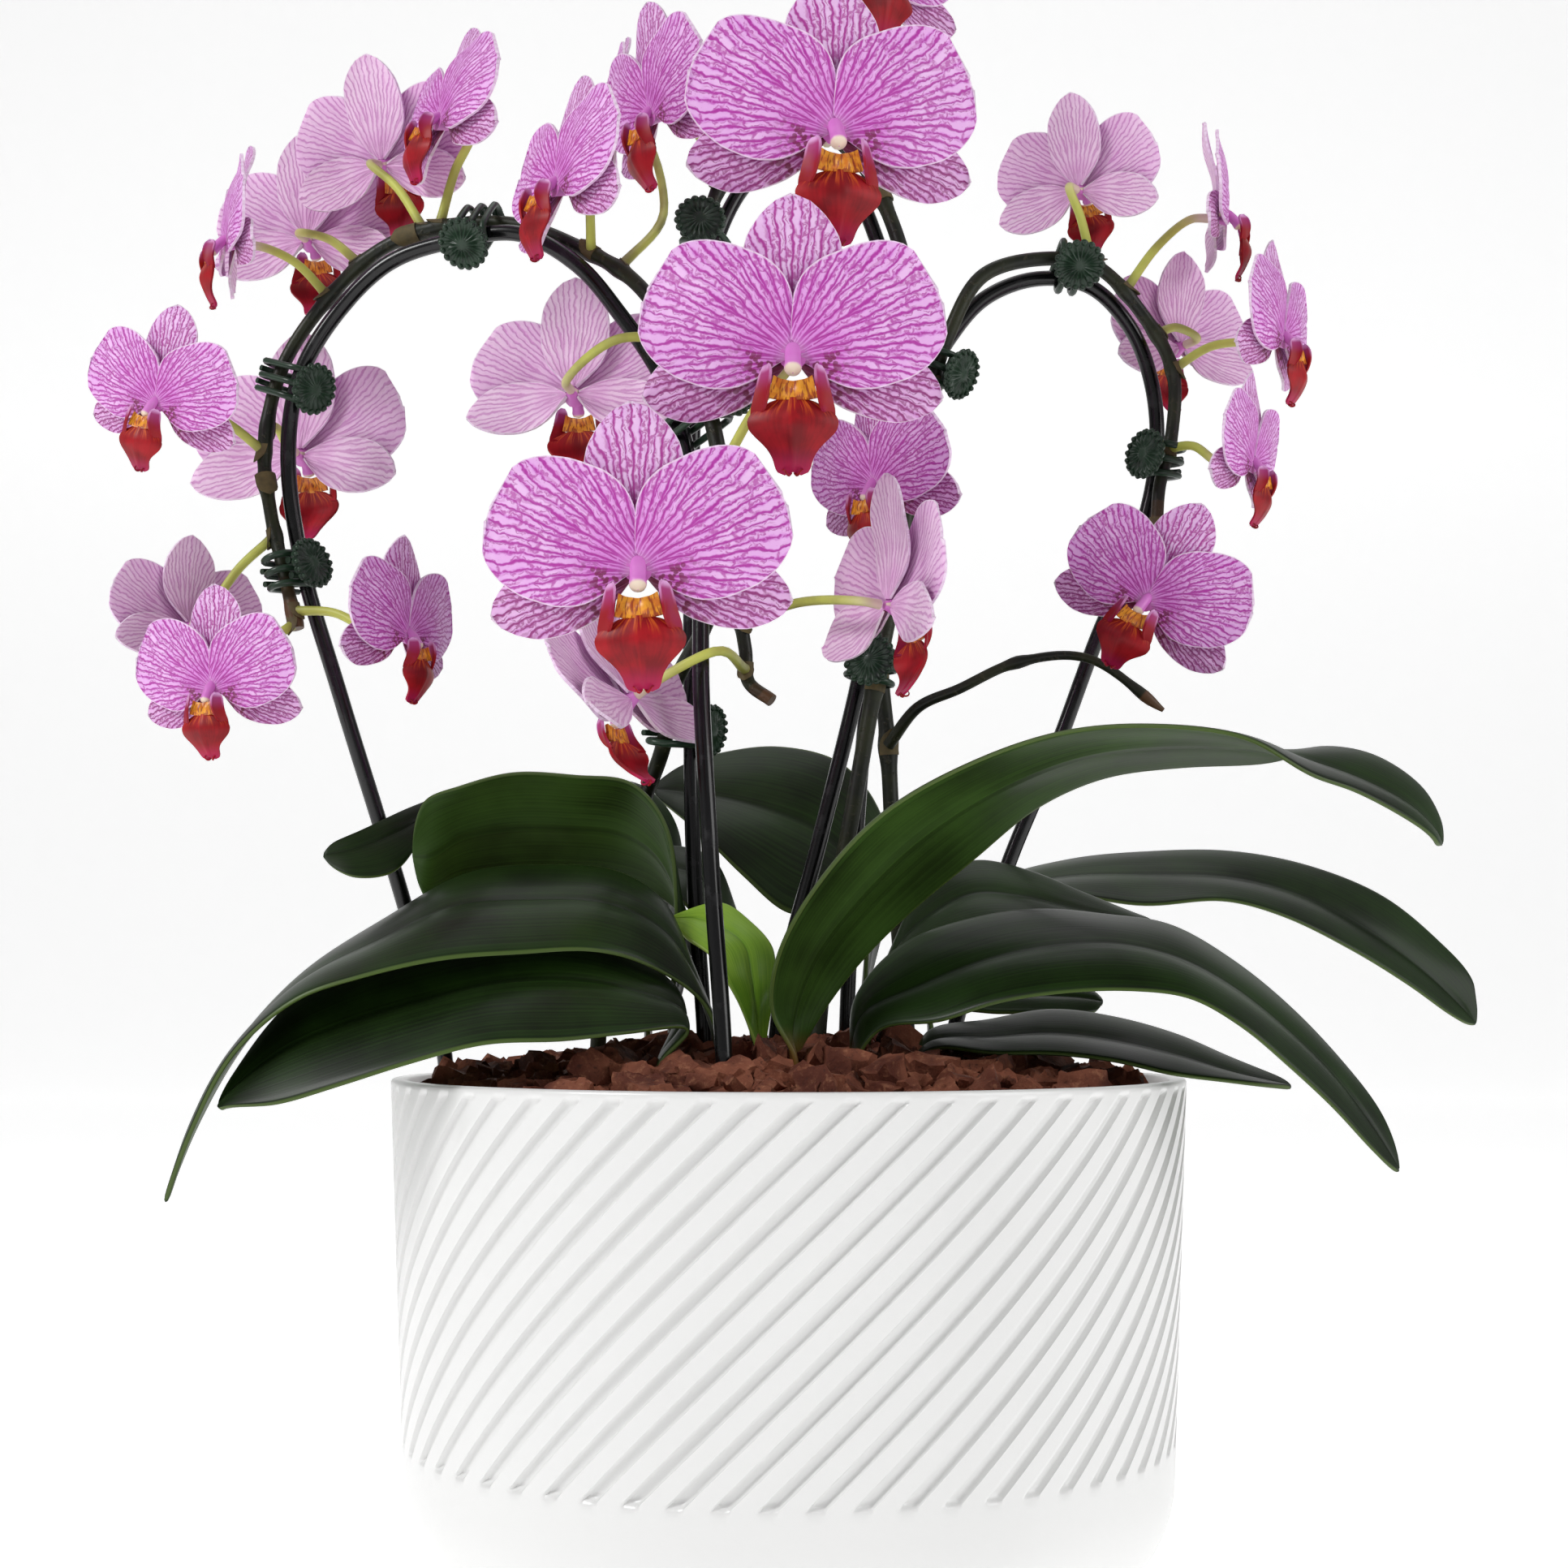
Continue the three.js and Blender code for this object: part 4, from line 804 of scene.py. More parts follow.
# %% [markdown]
# ## The clips
#
# Small dark green claw clips hold each stem to its hoop. Five curved prongs close round rod and stem, by
# turns from one side and the other, and the finger pad is a daisy-shaped button with a ring of raised
# beads. The button is modelled once: a disc extruded in steps to a dished face with a domed middle,
# whose rim is pulled in and out into eighteen lobes. Each clip gets its own prongs, because stem and rod
# lie at another distance at each place.

# %% Daisy button
# name, hoop, stem, a point in mm near it, the way its button faces
CLIPS = [
    ("clip_01", "hoop_left", "spike_left", (-95, -28, 410), (0.1, -0.85, -0.5)),
    ("clip_02", "hoop_left", "spike_left", (-151, -9, 368), (1, -0.8, 0)),
    ("clip_03", "hoop_left", "spike_left", (-152, -4, 310), (1, -0.7, 0)),
    ("clip_04", "hoop_left", "spike_left", (-31, -49, 345), (0.8, -1, 0)),
    ("clip_05", "hoop_right", "spike_right", (46, -2, 376), (1, -0.75, -0.2)),
    ("clip_06", "hoop_right", "spike_right", (89, 1, 408), (0, -1, -0.6)),
    ("clip_07", "hoop_right", "spike_right", (118, 8, 348), (-1, -0.8, 0)),
    ("clip_08", "hoop_center", "spike_center", (-26, 2, 417), (0, -1, 0)),
    ("clip_09", "hoop_center", "spike_left", (-30, -8, 261), (1, -0.6, 0)),
    ("clip_10", "hoop_center", "spike_center", (24, -16, 278), (-0.4, -1, 0)),
]
BUTTON_RADIUS = 8.4
BUTTON_LOBES = 18
BUTTON_BACK = -0.9
BEAD_RADIUS, BEAD_HEIGHT = 0.85, 0.75
# each step of the button's face: how much wider it gets, and by how many mm it rises
BUTTON_STEPS = [
    (1.05, 0.5), (1.03, 0.5), (0.96, 0.35), (0.86, 0.1), (0.8, -0.25),
    (0.75, 0.05), (0.7, 0.35), (0.7, 0.45), (0.6, 0.2),
]

button = new_ring(144, BUTTON_RADIUS * 0.9, BUTTON_BACK, "NGON")
bpy.ops.object.mode_set(mode="EDIT")
bpy.ops.mesh.select_mode(type="FACE")
bpy.ops.mesh.select_all(action="SELECT")
for spread, lift in BUTTON_STEPS:
    bpy.ops.mesh.extrude_region_move(TRANSFORM_OT_translate={"value": (0, 0, lift * MM)})
    bpy.ops.transform.resize(value=(spread, spread, 1))
bpy.ops.object.mode_set(mode="OBJECT")
for vertex in button.data.vertices:
    reach, angle = math.hypot(vertex.co.x, vertex.co.y) / MM, math.atan2(vertex.co.y, vertex.co.x)
    lobe = 1 - 0.1 * (1 - abs(math.cos(BUTTON_LOBES / 2 * angle)) ** 0.7) * min(1, reach / 6) ** 2
    vertex.co.x *= lobe
    vertex.co.y *= lobe
    if vertex.co.z > 0 and 1.5 < reach < 7:
        vertex.co.z += 0.35 * MM * math.cos(BUTTON_LOBES * angle) * math.sin(math.pi * (reach - 1.5) / 5.5)
ring = (BUTTON_RADIUS * 0.82) * MM
beads = []
for k in range(BUTTON_LOBES):
    angle = math.radians(360 / BUTTON_LOBES * k)
    start_fresh()
    place = (ring * math.cos(angle), ring * math.sin(angle), BEAD_HEIGHT * MM)
    bpy.ops.mesh.primitive_ico_sphere_add(subdivisions=2, radius=BEAD_RADIUS * MM, location=place)
    beads.append(bpy.context.object)
    bpy.ops.object.transform_apply(location=True)
button = join_up("button", button, *beads)
face_out(button, smooth=45)
print("button", len(button.data.polygons), "faces")

# %% Clips in place
PRONG_SHIFTS = (-4.8, -2.4, 0, 2.4, 4.8)  # where the prongs stand along the stem, in mm
PRONG_START, PRONG_SWEEP = -12, 215  # degrees from the button and round
PRONG_REACH, TIP_FLARE = 4.55, 1.8
PAD_REACH = 4.65

clip_green = Paint("clip_green", Coat_Weight=0.12, Coat_Roughness=0.15, Specular_IOR_Level=0.35)
where = clip_green.place()
cloud = clip_green.noise(where, 120, 4)
tone = clip_green.mix(cloud, colour("14251A"), colour("2A4430"))
clip_green.finish(tone, 0.3 + cloud * 0.15, clip_green.noise(where, 900), 0.00006)


def closest(line, target):
    """The place on a curve that is nearest to a point."""
    return min((i / 600 for i in range(601)), key=lambda t: (line(t) - target).length_squared)


def make_clip(name, hoop, spike, near, facing):
    """One clip: its claws, its neck and yoke as rods, and its button."""
    hoop, spike = hoop_lines[hoop], spike_lines[spike]
    rod_t = closest(hoop, Vector(near))
    rod = hoop(rod_t)
    stem_t = closest(spike, rod)
    stem = spike(stem_t)
    axis, along = heading(hoop, rod_t), heading(spike, stem_t)
    axis = (axis + along * math.copysign(1, along.dot(axis))).normalized()
    across = stem - rod
    across -= across.dot(axis) * axis
    half = across.length / 2
    across.normalize()
    out = axis.cross(across)
    face = Vector(facing)
    face = (face - face.dot(axis) * axis).normalized()
    middle = rod + across * (half + 0.9)
    lean = max(-1.0, min(1.0, 2 * face.dot(across)))

    def round_both(angle, reach):
        """A point on the oval round rod and stem, reach from the nearer of the two."""
        side = max(-1.0, min(1.0, 4 * math.cos(angle)))
        return middle + across * (side * half + reach * math.cos(angle)) + out * (reach * math.sin(angle))

    pad = math.atan2(face.dot(out), face.dot(across))
    prongs = []
    for k, shift in enumerate(PRONG_SHIFTS):
        way = 1 if k % 2 else -1
        run = []
        for i in range(25):
            share = i / 24
            angle = pad + way * math.radians(PRONG_START + PRONG_SWEEP * share)
            reach = PRONG_REACH + (TIP_FLARE * max(0.0, share - 0.84) / 0.16)
            run.append((round_both(angle, reach) + axis * shift * (1 - 0.15 * share), 1.15 - 0.2 * share))
        prongs.append(run)
    start = middle + across * (lean * half) + face * PAD_REACH
    neck = [(start + face * (5.2 * i / 6 - 0.8), 1.8 + 0.5 * (i / 6 - 0.5) ** 2) for i in range(7)]
    yoke = [(start + axis * d - face * 0.2, 1.5) for d in (-5.2, -2, 0, 2, 5.2)]
    claws = lay_rods("claws", [*prongs, neck, yoke], sides=2)
    claws.data.materials.append(clip_green.material)
    disc = twin(button)
    side = axis.cross(face).normalized()
    turned = Matrix((side, -axis, face)).transposed().to_4x4()
    disc.data.transform(Matrix.Translation((start + face * 5) * MM) @ turned)
    if turned.determinant() < 0:
        disc.data.flip_normals()
    disc.data.materials.append(clip_green.material)
    return settle(join_up(name + "_claw", claws, disc), "clip", name)


for row in CLIPS:
    clip = make_clip(*row)
bpy.data.objects.remove(button)
print(len(CLIPS), "clips of", len(clip.data.polygons), "faces")

# %% [markdown]
# ## The leaves
#
# Moth orchid leaves are thick straps: narrow where they clasp the crown, broad past the middle, folded
# along the midrib and arching under their own weight. Each is a grid bent between three lines, its two
# edges and its middle, which rounds off at the tip. Solidify gives the flesh its thickness and keeps the
# underside as a material of its own, and one level of subdivision softens the rim.

# %% Leaf table
# each row is a point in mm on the far edge, one on the middle and one on the near edge
LEAVES = [
    ("leaf_01", [
        (-18, -36, 152, -19, -43, 152, -18, -50, 152), (-19, -36, 163, -20, -44, 163, -19, -52, 163),
        (-29, -36, 189, -26, -44, 182, -24, -52, 177), (-37, -32, 207, -36, -45, 198, -40, -57, 188),
        (-51, -28, 216, -53, -48, 206, -55, -64, 192), (-72, -26, 218, -73, -50, 207, -75, -69, 191),
        (-95, -26, 216, -95, -52, 205, -96, -73, 189), (-118, -28, 203, -116, -54, 195, -118, -75, 184),
        (-139, -32, 188, -137, -56, 184, -136, -74, 178), (-157, -38, 167, -155, -58, 165, -154, -71, 163),
        (-169, -46, 143, -167, -59, 144, -165, -68, 143), (-175, -58, 122, -174, -60, 122, -174, -62, 122)]),
    ("leaf_02", [
        (-34, -53, 152, -35, -60, 152, -34, -67, 152), (-36, -52, 160, -37, -60, 160, -36, -68, 160),
        (-31, -51, 179, -29, -60, 174, -28, -66, 170), (-45, -44, 191, -44, -62, 181, -45, -74, 169),
        (-61, -42, 199, -61, -64, 184, -62, -80, 167), (-82, -40, 199, -81, -66, 183, -82, -84, 166),
        (-103, -40, 196, -102, -66, 178, -102, -84, 161), (-124, -42, 189, -122, -66, 172, -122, -82, 155),
        (-143, -48, 177, -141, -66, 164, -140, -78, 150), (-155, -60, 158, -155, -66, 153, -154, -72, 149),
        (-158, -65, 151, -158, -67, 149, -158, -69, 148)]),
    ("leaf_03", [
        (-34, -1, 152, -35, -8, 152, -34, -15, 152), (-35, 0, 170, -36, -8, 170, -35, -16, 170),
        (-30, -3, 199, -32, -9, 203, -34, -16, 207), (-40, -2, 210, -39, -12, 221, -37, -22, 231),
        (-54, 4, 213, -51, -10, 229, -47, -24, 243), (-70, 9, 214, -68, -10, 231, -63, -26, 245),
        (-88, 8, 213, -86, -10, 231, -82, -27, 246), (-102, 4, 211, -100, -11, 228, -98, -26, 242),
        (-110, -4, 208, -109, -13, 222, -109, -22, 238), (-114, -10, 217, -114, -13, 222, -114, -16, 227)]),
    ("leaf_04", [
        (-44, 49, 152, -45, 42, 152, -44, 35, 152), (-45, 50, 170, -46, 42, 170, -45, 34, 170),
        (-35, 44, 217, -39, 36, 215, -42, 28, 212), (-37, 41, 236, -42, 33, 231, -46, 25, 223),
        (-48, 40, 248, -51, 29, 240, -56, 18, 231), (-66, 36, 249, -70, 23, 242, -72, 11, 234),
        (-86, 28, 248, -90, 17, 242, -93, 8, 235), (-104, 18, 244, -107, 9, 239, -109, 1, 232),
        (-117, 4, 238, -120, -2, 230, -120, -8, 217), (-131, -5, 230, -133, -8, 224, -131, -13, 215),
        (-142, -7, 225, -142, -8, 222, -142, -9, 220)]),
    ("leaf_05", [
        (44, 35, 152, 43, 30, 152, 44, 25, 152), (46, 36, 166, 45, 31, 166, 46, 26, 166),
        (47, 40, 181, 47, 34, 177, 46, 28, 174), (68, 44, 183, 67, 34, 179, 67, 25, 174),
        (87, 44, 183, 86, 34, 179, 85, 25, 174), (98, 40, 181, 98, 34, 178, 97, 28, 174),
        (101, 36, 178, 101, 34, 177, 100, 32, 176)]),
    ("leaf_06", [
        (24, 53, 152, 23, 46, 152, 24, 39, 152), (25, 55, 176, 24, 47, 176, 25, 39, 176),
        (34, 60, 216, 28, 48, 216, 23, 36, 215), (31, 66, 241, 21, 50, 224, 10, 36, 207),
        (18, 68, 258, 8, 52, 235, 0, 34, 206), (-3, 70, 264, -8, 52, 241, -15, 34, 218),
        (-22, 70, 262, -25, 54, 245, -27, 38, 230), (-36, 68, 257, -37, 58, 247, -38, 49, 240),
        (-45, 62, 250, -45, 60, 248, -45, 58, 246)]),
    ("leaf_07", [
        (-10, 15, 152, -11, 10, 152, -10, 5, 152), (-10, 15, 166, -11, 10, 166, -10, 5, 166),
        (-12, 20, 189, -14, 15, 186, -17, 10, 184), (-17, 25, 207, -21, 16, 204, -26, 7, 200),
        (-24, 28, 223, -28, 17, 216, -34, 6, 209), (-34, 28, 227, -38, 17, 220, -42, 7, 213),
        (-43, 23, 226, -45, 15, 222, -47, 8, 217), (-48, 16, 223, -49, 14, 222, -50, 12, 220)]),
    ("leaf_08", [
        (-8, -34, 152, -9, -37, 152, -8, -40, 152), (-8, -33, 160, -9, -37, 160, -8, -41, 160),
        (-5, -34, 178, -10, -38, 177, -14, -40, 176), (-4, -30, 187, -11, -36, 185, -19, -40, 185),
        (-5, -26, 194, -13, -32, 194, -23, -38, 191), (-11, -22, 201, -19, -28, 199, -30, -34, 196),
        (-20, -20, 207, -27, -25, 202, -33, -30, 199), (-35, -25, 203, -36, -26, 202, -38, -27, 201)]),
    ("leaf_09", [
        (2, -50, 152, 1, -57, 152, 2, -64, 152), (2, -49, 162, 1, -57, 162, 2, -65, 162),
        (8, -50, 172, 1, -56, 174, -5, -66, 175), (20, -46, 188, 7, -60, 190, -3, -74, 192),
        (36, -42, 204, 20, -62, 207, 8, -80, 211), (54, -42, 219, 38, -64, 224, 25, -84, 229),
        (72, -42, 234, 60, -65, 238, 48, -86, 242), (92, -42, 243, 83, -65, 247, 74, -86, 251),
        (115, -42, 246, 107, -65, 250, 99, -86, 253), (140, -44, 247, 133, -64, 249, 125, -84, 250),
        (154, -46, 251, 147, -64, 245, 143, -82, 240), (169, -46, 249, 162, -62, 240, 156, -78, 236),
        (182, -48, 240, 176, -60, 233, 172, -70, 229), (186, -53, 230, 183, -59, 226, 181, -64, 224),
        (186, -56, 223, 185, -58, 222, 184, -60, 221)]),
    ("leaf_10", [
        (32, 49, 152, 31, 42, 152, 32, 35, 152), (33, 49, 172, 32, 42, 172, 33, 35, 172),
        (48, 50, 192, 46, 42, 190, 44, 34, 187), (67, 60, 216, 64, 46, 211, 62, 32, 205),
        (94, 66, 225, 90, 48, 218, 87, 30, 211), (123, 68, 228, 120, 50, 219, 114, 30, 208),
        (150, 70, 228, 146, 52, 218, 140, 32, 210), (176, 70, 223, 170, 54, 212, 160, 34, 205),
        (200, 68, 213, 192, 55, 200, 183, 38, 194), (217, 66, 199, 210, 56, 187, 202, 44, 183),
        (228, 62, 185, 222, 57, 176, 216, 50, 174), (228, 57, 171, 227, 56, 170, 226, 55, 169)]),
    ("leaf_11", [
        (18, -39, 152, 17, -46, 152, 18, -53, 152), (19, -38, 161, 18, -46, 161, 19, -54, 161),
        (19, -40, 178, 21, -48, 174, 26, -56, 170), (32, -34, 194, 37, -52, 182, 42, -66, 172),
        (52, -30, 202, 55, -54, 189, 57, -72, 177), (73, -30, 205, 73, -56, 193, 74, -76, 180),
        (93, -32, 203, 92, -58, 194, 93, -78, 181), (111, -36, 200, 109, -60, 190, 110, -78, 179),
        (128, -40, 190, 124, -61, 182, 124, -78, 171), (143, -46, 177, 138, -62, 171, 137, -76, 160),
        (156, -52, 162, 152, -63, 157, 149, -74, 149), (166, -58, 147, 162, -64, 143, 160, -70, 138),
        (170, -64, 133, 169, -65, 131, 169, -66, 130)]),
    ("leaf_12", [
        (36, -22, 152, 35, -28, 152, 36, -34, 152), (38, -22, 161, 37, -28, 161, 38, -34, 161),
        (42, -20, 169, 42, -28, 166, 43, -36, 164), (60, -14, 172, 59, -30, 167, 58, -46, 163),
        (79, -12, 175, 77, -32, 168, 76, -50, 163), (98, -14, 173, 95, -33, 166, 92, -52, 161),
        (116, -18, 168, 113, -34, 162, 109, -50, 157), (131, -24, 161, 129, -35, 157, 126, -46, 155),
        (147, -34, 154, 146, -36, 153, 146, -38, 153)]),
    ("leaf_13", [
        (24, -6, 152, 23, -12, 152, 24, -18, 152), (25, -6, 172, 24, -12, 172, 25, -18, 172),
        (34, -6, 199, 33, -14, 194, 33, -22, 189), (42, 0, 213, 42, -12, 203, 41, -24, 194),
        (57, 2, 221, 56, -12, 210, 55, -26, 198), (74, 0, 218, 71, -13, 209, 69, -26, 200),
        (90, -4, 211, 88, -14, 205, 85, -24, 200), (103, -8, 205, 101, -14, 203, 100, -20, 201),
        (110, -13, 202, 110, -15, 201, 109, -17, 200)]),
]

# %% [markdown]
# The upper face is a deep satin green with faint soft lines along the leaf, painted shade that darkens
# the crease over the midrib, a pale rim and a base tinged with brown. The underside is paler and duller.
# Both follow the leaf, so they read the grid's own pattern: across from 0 to 1 and along from 0 to 1.


# %% Leaf finishes
def leaf_paint(name, dark, light, edge, shine):
    paint = Paint(name, Coat_Weight=shine, Coat_Roughness=0.22, Specular_IOR_Level=0.2)
    across, along = paint.sheet_place()
    off_middle = (across - 0.5).size()
    lines = paint.noise(paint.stack(across * 60, along * 1.4), 1, 2)
    cloud = paint.noise(paint.place(), 28, 3)
    tone = paint.mix((lines * 0.35 + cloud * 0.65).rise(0.35, 0.65), colour(dark), colour(light))
    # painted shade: the colour darkens along the midrib crease, and the same mask sinks the groove in the
    # bump
    crease_shade_and_groove = off_middle.rise(0.035, 0.004)
    tone = paint.mix(crease_shade_and_groove * 0.5, tone, colour(dark))
    rim = off_middle.rise(0.475, 0.497)
    tone = paint.mix(rim * 0.6, tone, colour(edge))
    tone = paint.mix(along.rise(0.13, 0.06) * cloud.rise(0.35, 0.6) * 0.7, tone, colour("7E5026"))
    return paint.finish(tone, 0.34 + cloud * 0.12 + lines * 0.08, lines * 0.3 - crease_shade_and_groove * 0.8, 0.00016)


leaf_face = leaf_paint("leaf_face", "0B1604", "1E350E", "5B7036", 0.13)
leaf_back = leaf_paint("leaf_back", "1C2B0C", "35501C", "66783A", 0.03)
young_face = leaf_paint("young_leaf_face", "5C8A20", "8DB538", "B5CC6A", 0.2)


# %% Leaves
LEAF_THICKNESS = 1.5


def make_leaf(name, rows):
    """One leaf between its three lines. Its number sets the phase of its waves."""
    far, middle, near = [run_through([row[k : k + 3] for row in rows]) for k in (0, 3, 6)]
    seed = int(name[-2:])

    def form(u, v):
        edge = (near if u > 0 else far)(v)
        closing = max(0.0, 1 - max(0.0, (v - 0.965) / 0.035) ** 2) ** 0.5
        place = middle(v).lerp(edge, abs(u) * max(0.12, closing))
        crossing = near(v) - far(v)
        ahead = heading(middle, v)
        lift = crossing.cross(ahead).normalized()
        if lift.z < 0:
            lift.negate()
        width = crossing.length / 2
        full = math.sin(math.pi * min(1.0, abs(u))) * 0.05 * width - 0.5 * math.exp(-(u / 0.09) ** 2)
        wave = 0.012 * width * math.sin(11 * v + seed) * u * abs(u)
        return (place + lift * (full + wave) * min(1.0, 8 * (1 - v))) * MM

    leaf = lay_sheet(name + "_blade", 14, 56, form)
    if sum(p.normal.z * p.area for p in leaf.data.polygons) < 0:
        leaf.data.flip_normals()
    leaf.data.materials.append(young_face if name == "leaf_08" else leaf_face)
    leaf.data.materials.append(leaf_back)
    thicken(leaf, LEAF_THICKNESS, smooth=1)
    return settle(leaf, "leaf", name)


for row in LEAVES:
    leaf = make_leaf(*row)
print(len(LEAVES), "leaves of", len(leaf.data.polygons), "faces")

# %% [markdown]
# ## The bark
#
# Orchids grow in coarse bark chips. A mound fills the bowl, and nine hundred chips lie on it at all
# angles. One chip is a flattened cube that is subdivided, broken off along four planes and roughened.
# Nine such models are copied with their own size and turn, which is quick and never repeats to the eye.
# Their places follow a spiral of golden angles, which covers a disc evenly.

# %% Bark finish
bark_skin = Paint("bark_skin", Specular_IOR_Level=0.3)
where = bark_skin.place()
block = bark_skin.noise(where, 55, 2)
fibre = bark_skin.noise(where, 420, 5, 0.65)
tone = bark_skin.mix(block.rise(0.35, 0.65), colour("56291C"), colour("87503B"))
tone = bark_skin.mix(fibre.rise(0.5, 0.75) * 0.55, tone, colour("B07A5C"))
tone = bark_skin.mix(fibre.rise(0.45, 0.25) * 0.8, tone, colour("2E1610"))
bark_skin.finish(tone, 0.72 + fibre * 0.2, fibre, 0.0007)


# %% Bark mound and chips
FILL_RADIUS, FILL_FOOT = 112.5, 120  # in mm
MOUND_RINGS, MOUND_RING = 14, 7.9
CHIPS, CHIP_MODELS, CHIP_REACH = 900, 9, 109
CHIP_LENGTHS = (6, 8, 9, 10, 12, 14, 18)
GOLDEN_ANGLE = 2.39996


def mound(reach):
    """The height of the bark at a distance from the middle, in millimetres."""
    return 148 + 14 * (1 - (reach / 116) ** 2)


fill = new_ring(96, FILL_RADIUS, FILL_FOOT, "NOTHING")
bpy.ops.object.mode_set(mode="EDIT")
bpy.ops.mesh.select_mode(type="EDGE")
bpy.ops.mesh.select_all(action="SELECT")
up = (0, 0, (mound(FILL_RADIUS) - FILL_FOOT) * MM)
bpy.ops.mesh.extrude_edges_move(TRANSFORM_OT_translate={"value": up})
radius = FILL_RADIUS
for _ in range(MOUND_RINGS):
    narrower = radius - MOUND_RING
    up = (0, 0, (mound(narrower) - mound(radius)) * MM)
    bpy.ops.mesh.extrude_edges_move(TRANSFORM_OT_translate={"value": up})
    bpy.ops.transform.resize(value=(narrower / radius, narrower / radius, 1), center_override=(0, 0, 0))
    radius = narrower
bpy.ops.mesh.edge_face_add()
bpy.ops.mesh.select_all(action="DESELECT")
bpy.ops.mesh.select_non_manifold()
bpy.ops.mesh.edge_face_add()
face_out(fill)
for vertex in fill.data.vertices:
    if vertex.co.z > 0.14:
        vertex.co.z += 2.2 * MM * noise.noise(vertex.co * 160)


def bark_chip(seed):
    """One broken chip about 1 unit long, lying flat."""
    draw = random.Random(seed)
    start_fresh()
    bpy.ops.mesh.primitive_cube_add(size=1)
    chip = bpy.context.object
    chip.data.transform(Matrix.Diagonal((1, draw.uniform(0.4, 0.75), draw.uniform(0.25, 0.5), 1)))
    bpy.ops.object.mode_set(mode="EDIT")
    bpy.ops.mesh.select_all(action="SELECT")
    bpy.ops.mesh.subdivide(number_cuts=3)
    for _ in range(4):
        bpy.ops.mesh.select_all(action="SELECT")
        lean = Vector((draw.uniform(-1, 1), draw.uniform(-1, 1), draw.uniform(-0.4, 0.4))).normalized()
        at = lean * draw.uniform(0.16, 0.36)
        bpy.ops.mesh.bisect(plane_co=at, plane_no=lean, clear_outer=True, use_fill=True)
    face_out(chip)
    for vertex in chip.data.vertices:
        lumps = 0.09 * noise.noise_vector(vertex.co * 3.1 + Vector((seed * 7.3, 0, 0)))
        vertex.co += lumps + 0.06 * noise.noise_vector(vertex.co * 9 + Vector((0, 0, seed * 5.1)))
        vertex.co.z *= 1 + 0.4 * noise.noise(vertex.co * 2 + Vector((0, seed * 3.1, 0)))
    return chip


noise.seed_set(1)  # without a seed, noise_vector follows the clock
models = [bark_chip(seed) for seed in range(1, CHIP_MODELS + 1)]
draw = random.Random(11)
chips = []
for i in range(CHIPS):
    reach = CHIP_REACH * math.sqrt((i + 0.5) / CHIPS)
    angle = i * GOLDEN_ANGLE + draw.uniform(-0.2, 0.2)
    length = draw.choice(CHIP_LENGTHS) * draw.uniform(0.8, 1.2)
    reach = min(reach, CHIP_REACH + 2 - length / 2)
    chip = twin(models[i % CHIP_MODELS])
    tilt = Matrix.Rotation(draw.gauss(0, 0.6), 4, "X") @ Matrix.Rotation(draw.gauss(0, 0.4), 4, "Y")
    turn = Matrix.Rotation(draw.uniform(0, 6.28), 4, "Z") @ tilt
    seat = Vector((reach * math.cos(angle), reach * math.sin(angle), mound(reach) + draw.uniform(-1.0, 2.6)))
    chip.data.transform(Matrix.Translation(seat * MM) @ turn @ Matrix.Scale(length * MM, 4))
    chips.append(chip)
for model in models:
    bpy.data.objects.remove(model)
bark = join_up("bark_chips", fill, *chips)
choose(bark)
bpy.ops.object.shade_smooth_by_angle(angle=math.radians(38))
bark.data.materials.clear()
bark.data.materials.append(bark_skin.material)
settle(bark, "bark", "bark")
print("bark", len(chips), "chips,", len(bark.data.polygons), "faces")

# %% [markdown]
# ## The colours of a flower
#
# The petals are light lilac-pink with magenta veins that fan out from the base and fork again and again
# until some thirty reach the margin. A noise texture can't fork. So the veins are drawn in polar
# coordinates on the petal's own flat pattern: `turn` is the angle round the base and `reach` the
# distance from it. Evenly spaced turns are veins. A second set starts on top of the first and moves
# half a spacing aside as it goes out, which draws the fork, and a third set does so again. Cells drawn
# out along the petal add the broken links between them. Pale ground between the veins, dark speckles on
# the low side of the base and a thin pale margin finish it.


# %% Petal paint
def vein_distance(turn, reach, spacing, shift=0.0, start=0.0, end=1.0):
    """How far the nearest vein is, as a share of the flower's width.

    The veins stand at every spacing, in radians, and move aside by shift between two reaches."""
    lane = (turn - reach.rise(start, end) * shift) / spacing + 100.5
    off = lane.math("FRACT", lane) - 0.5
    return off.size() * spacing * reach


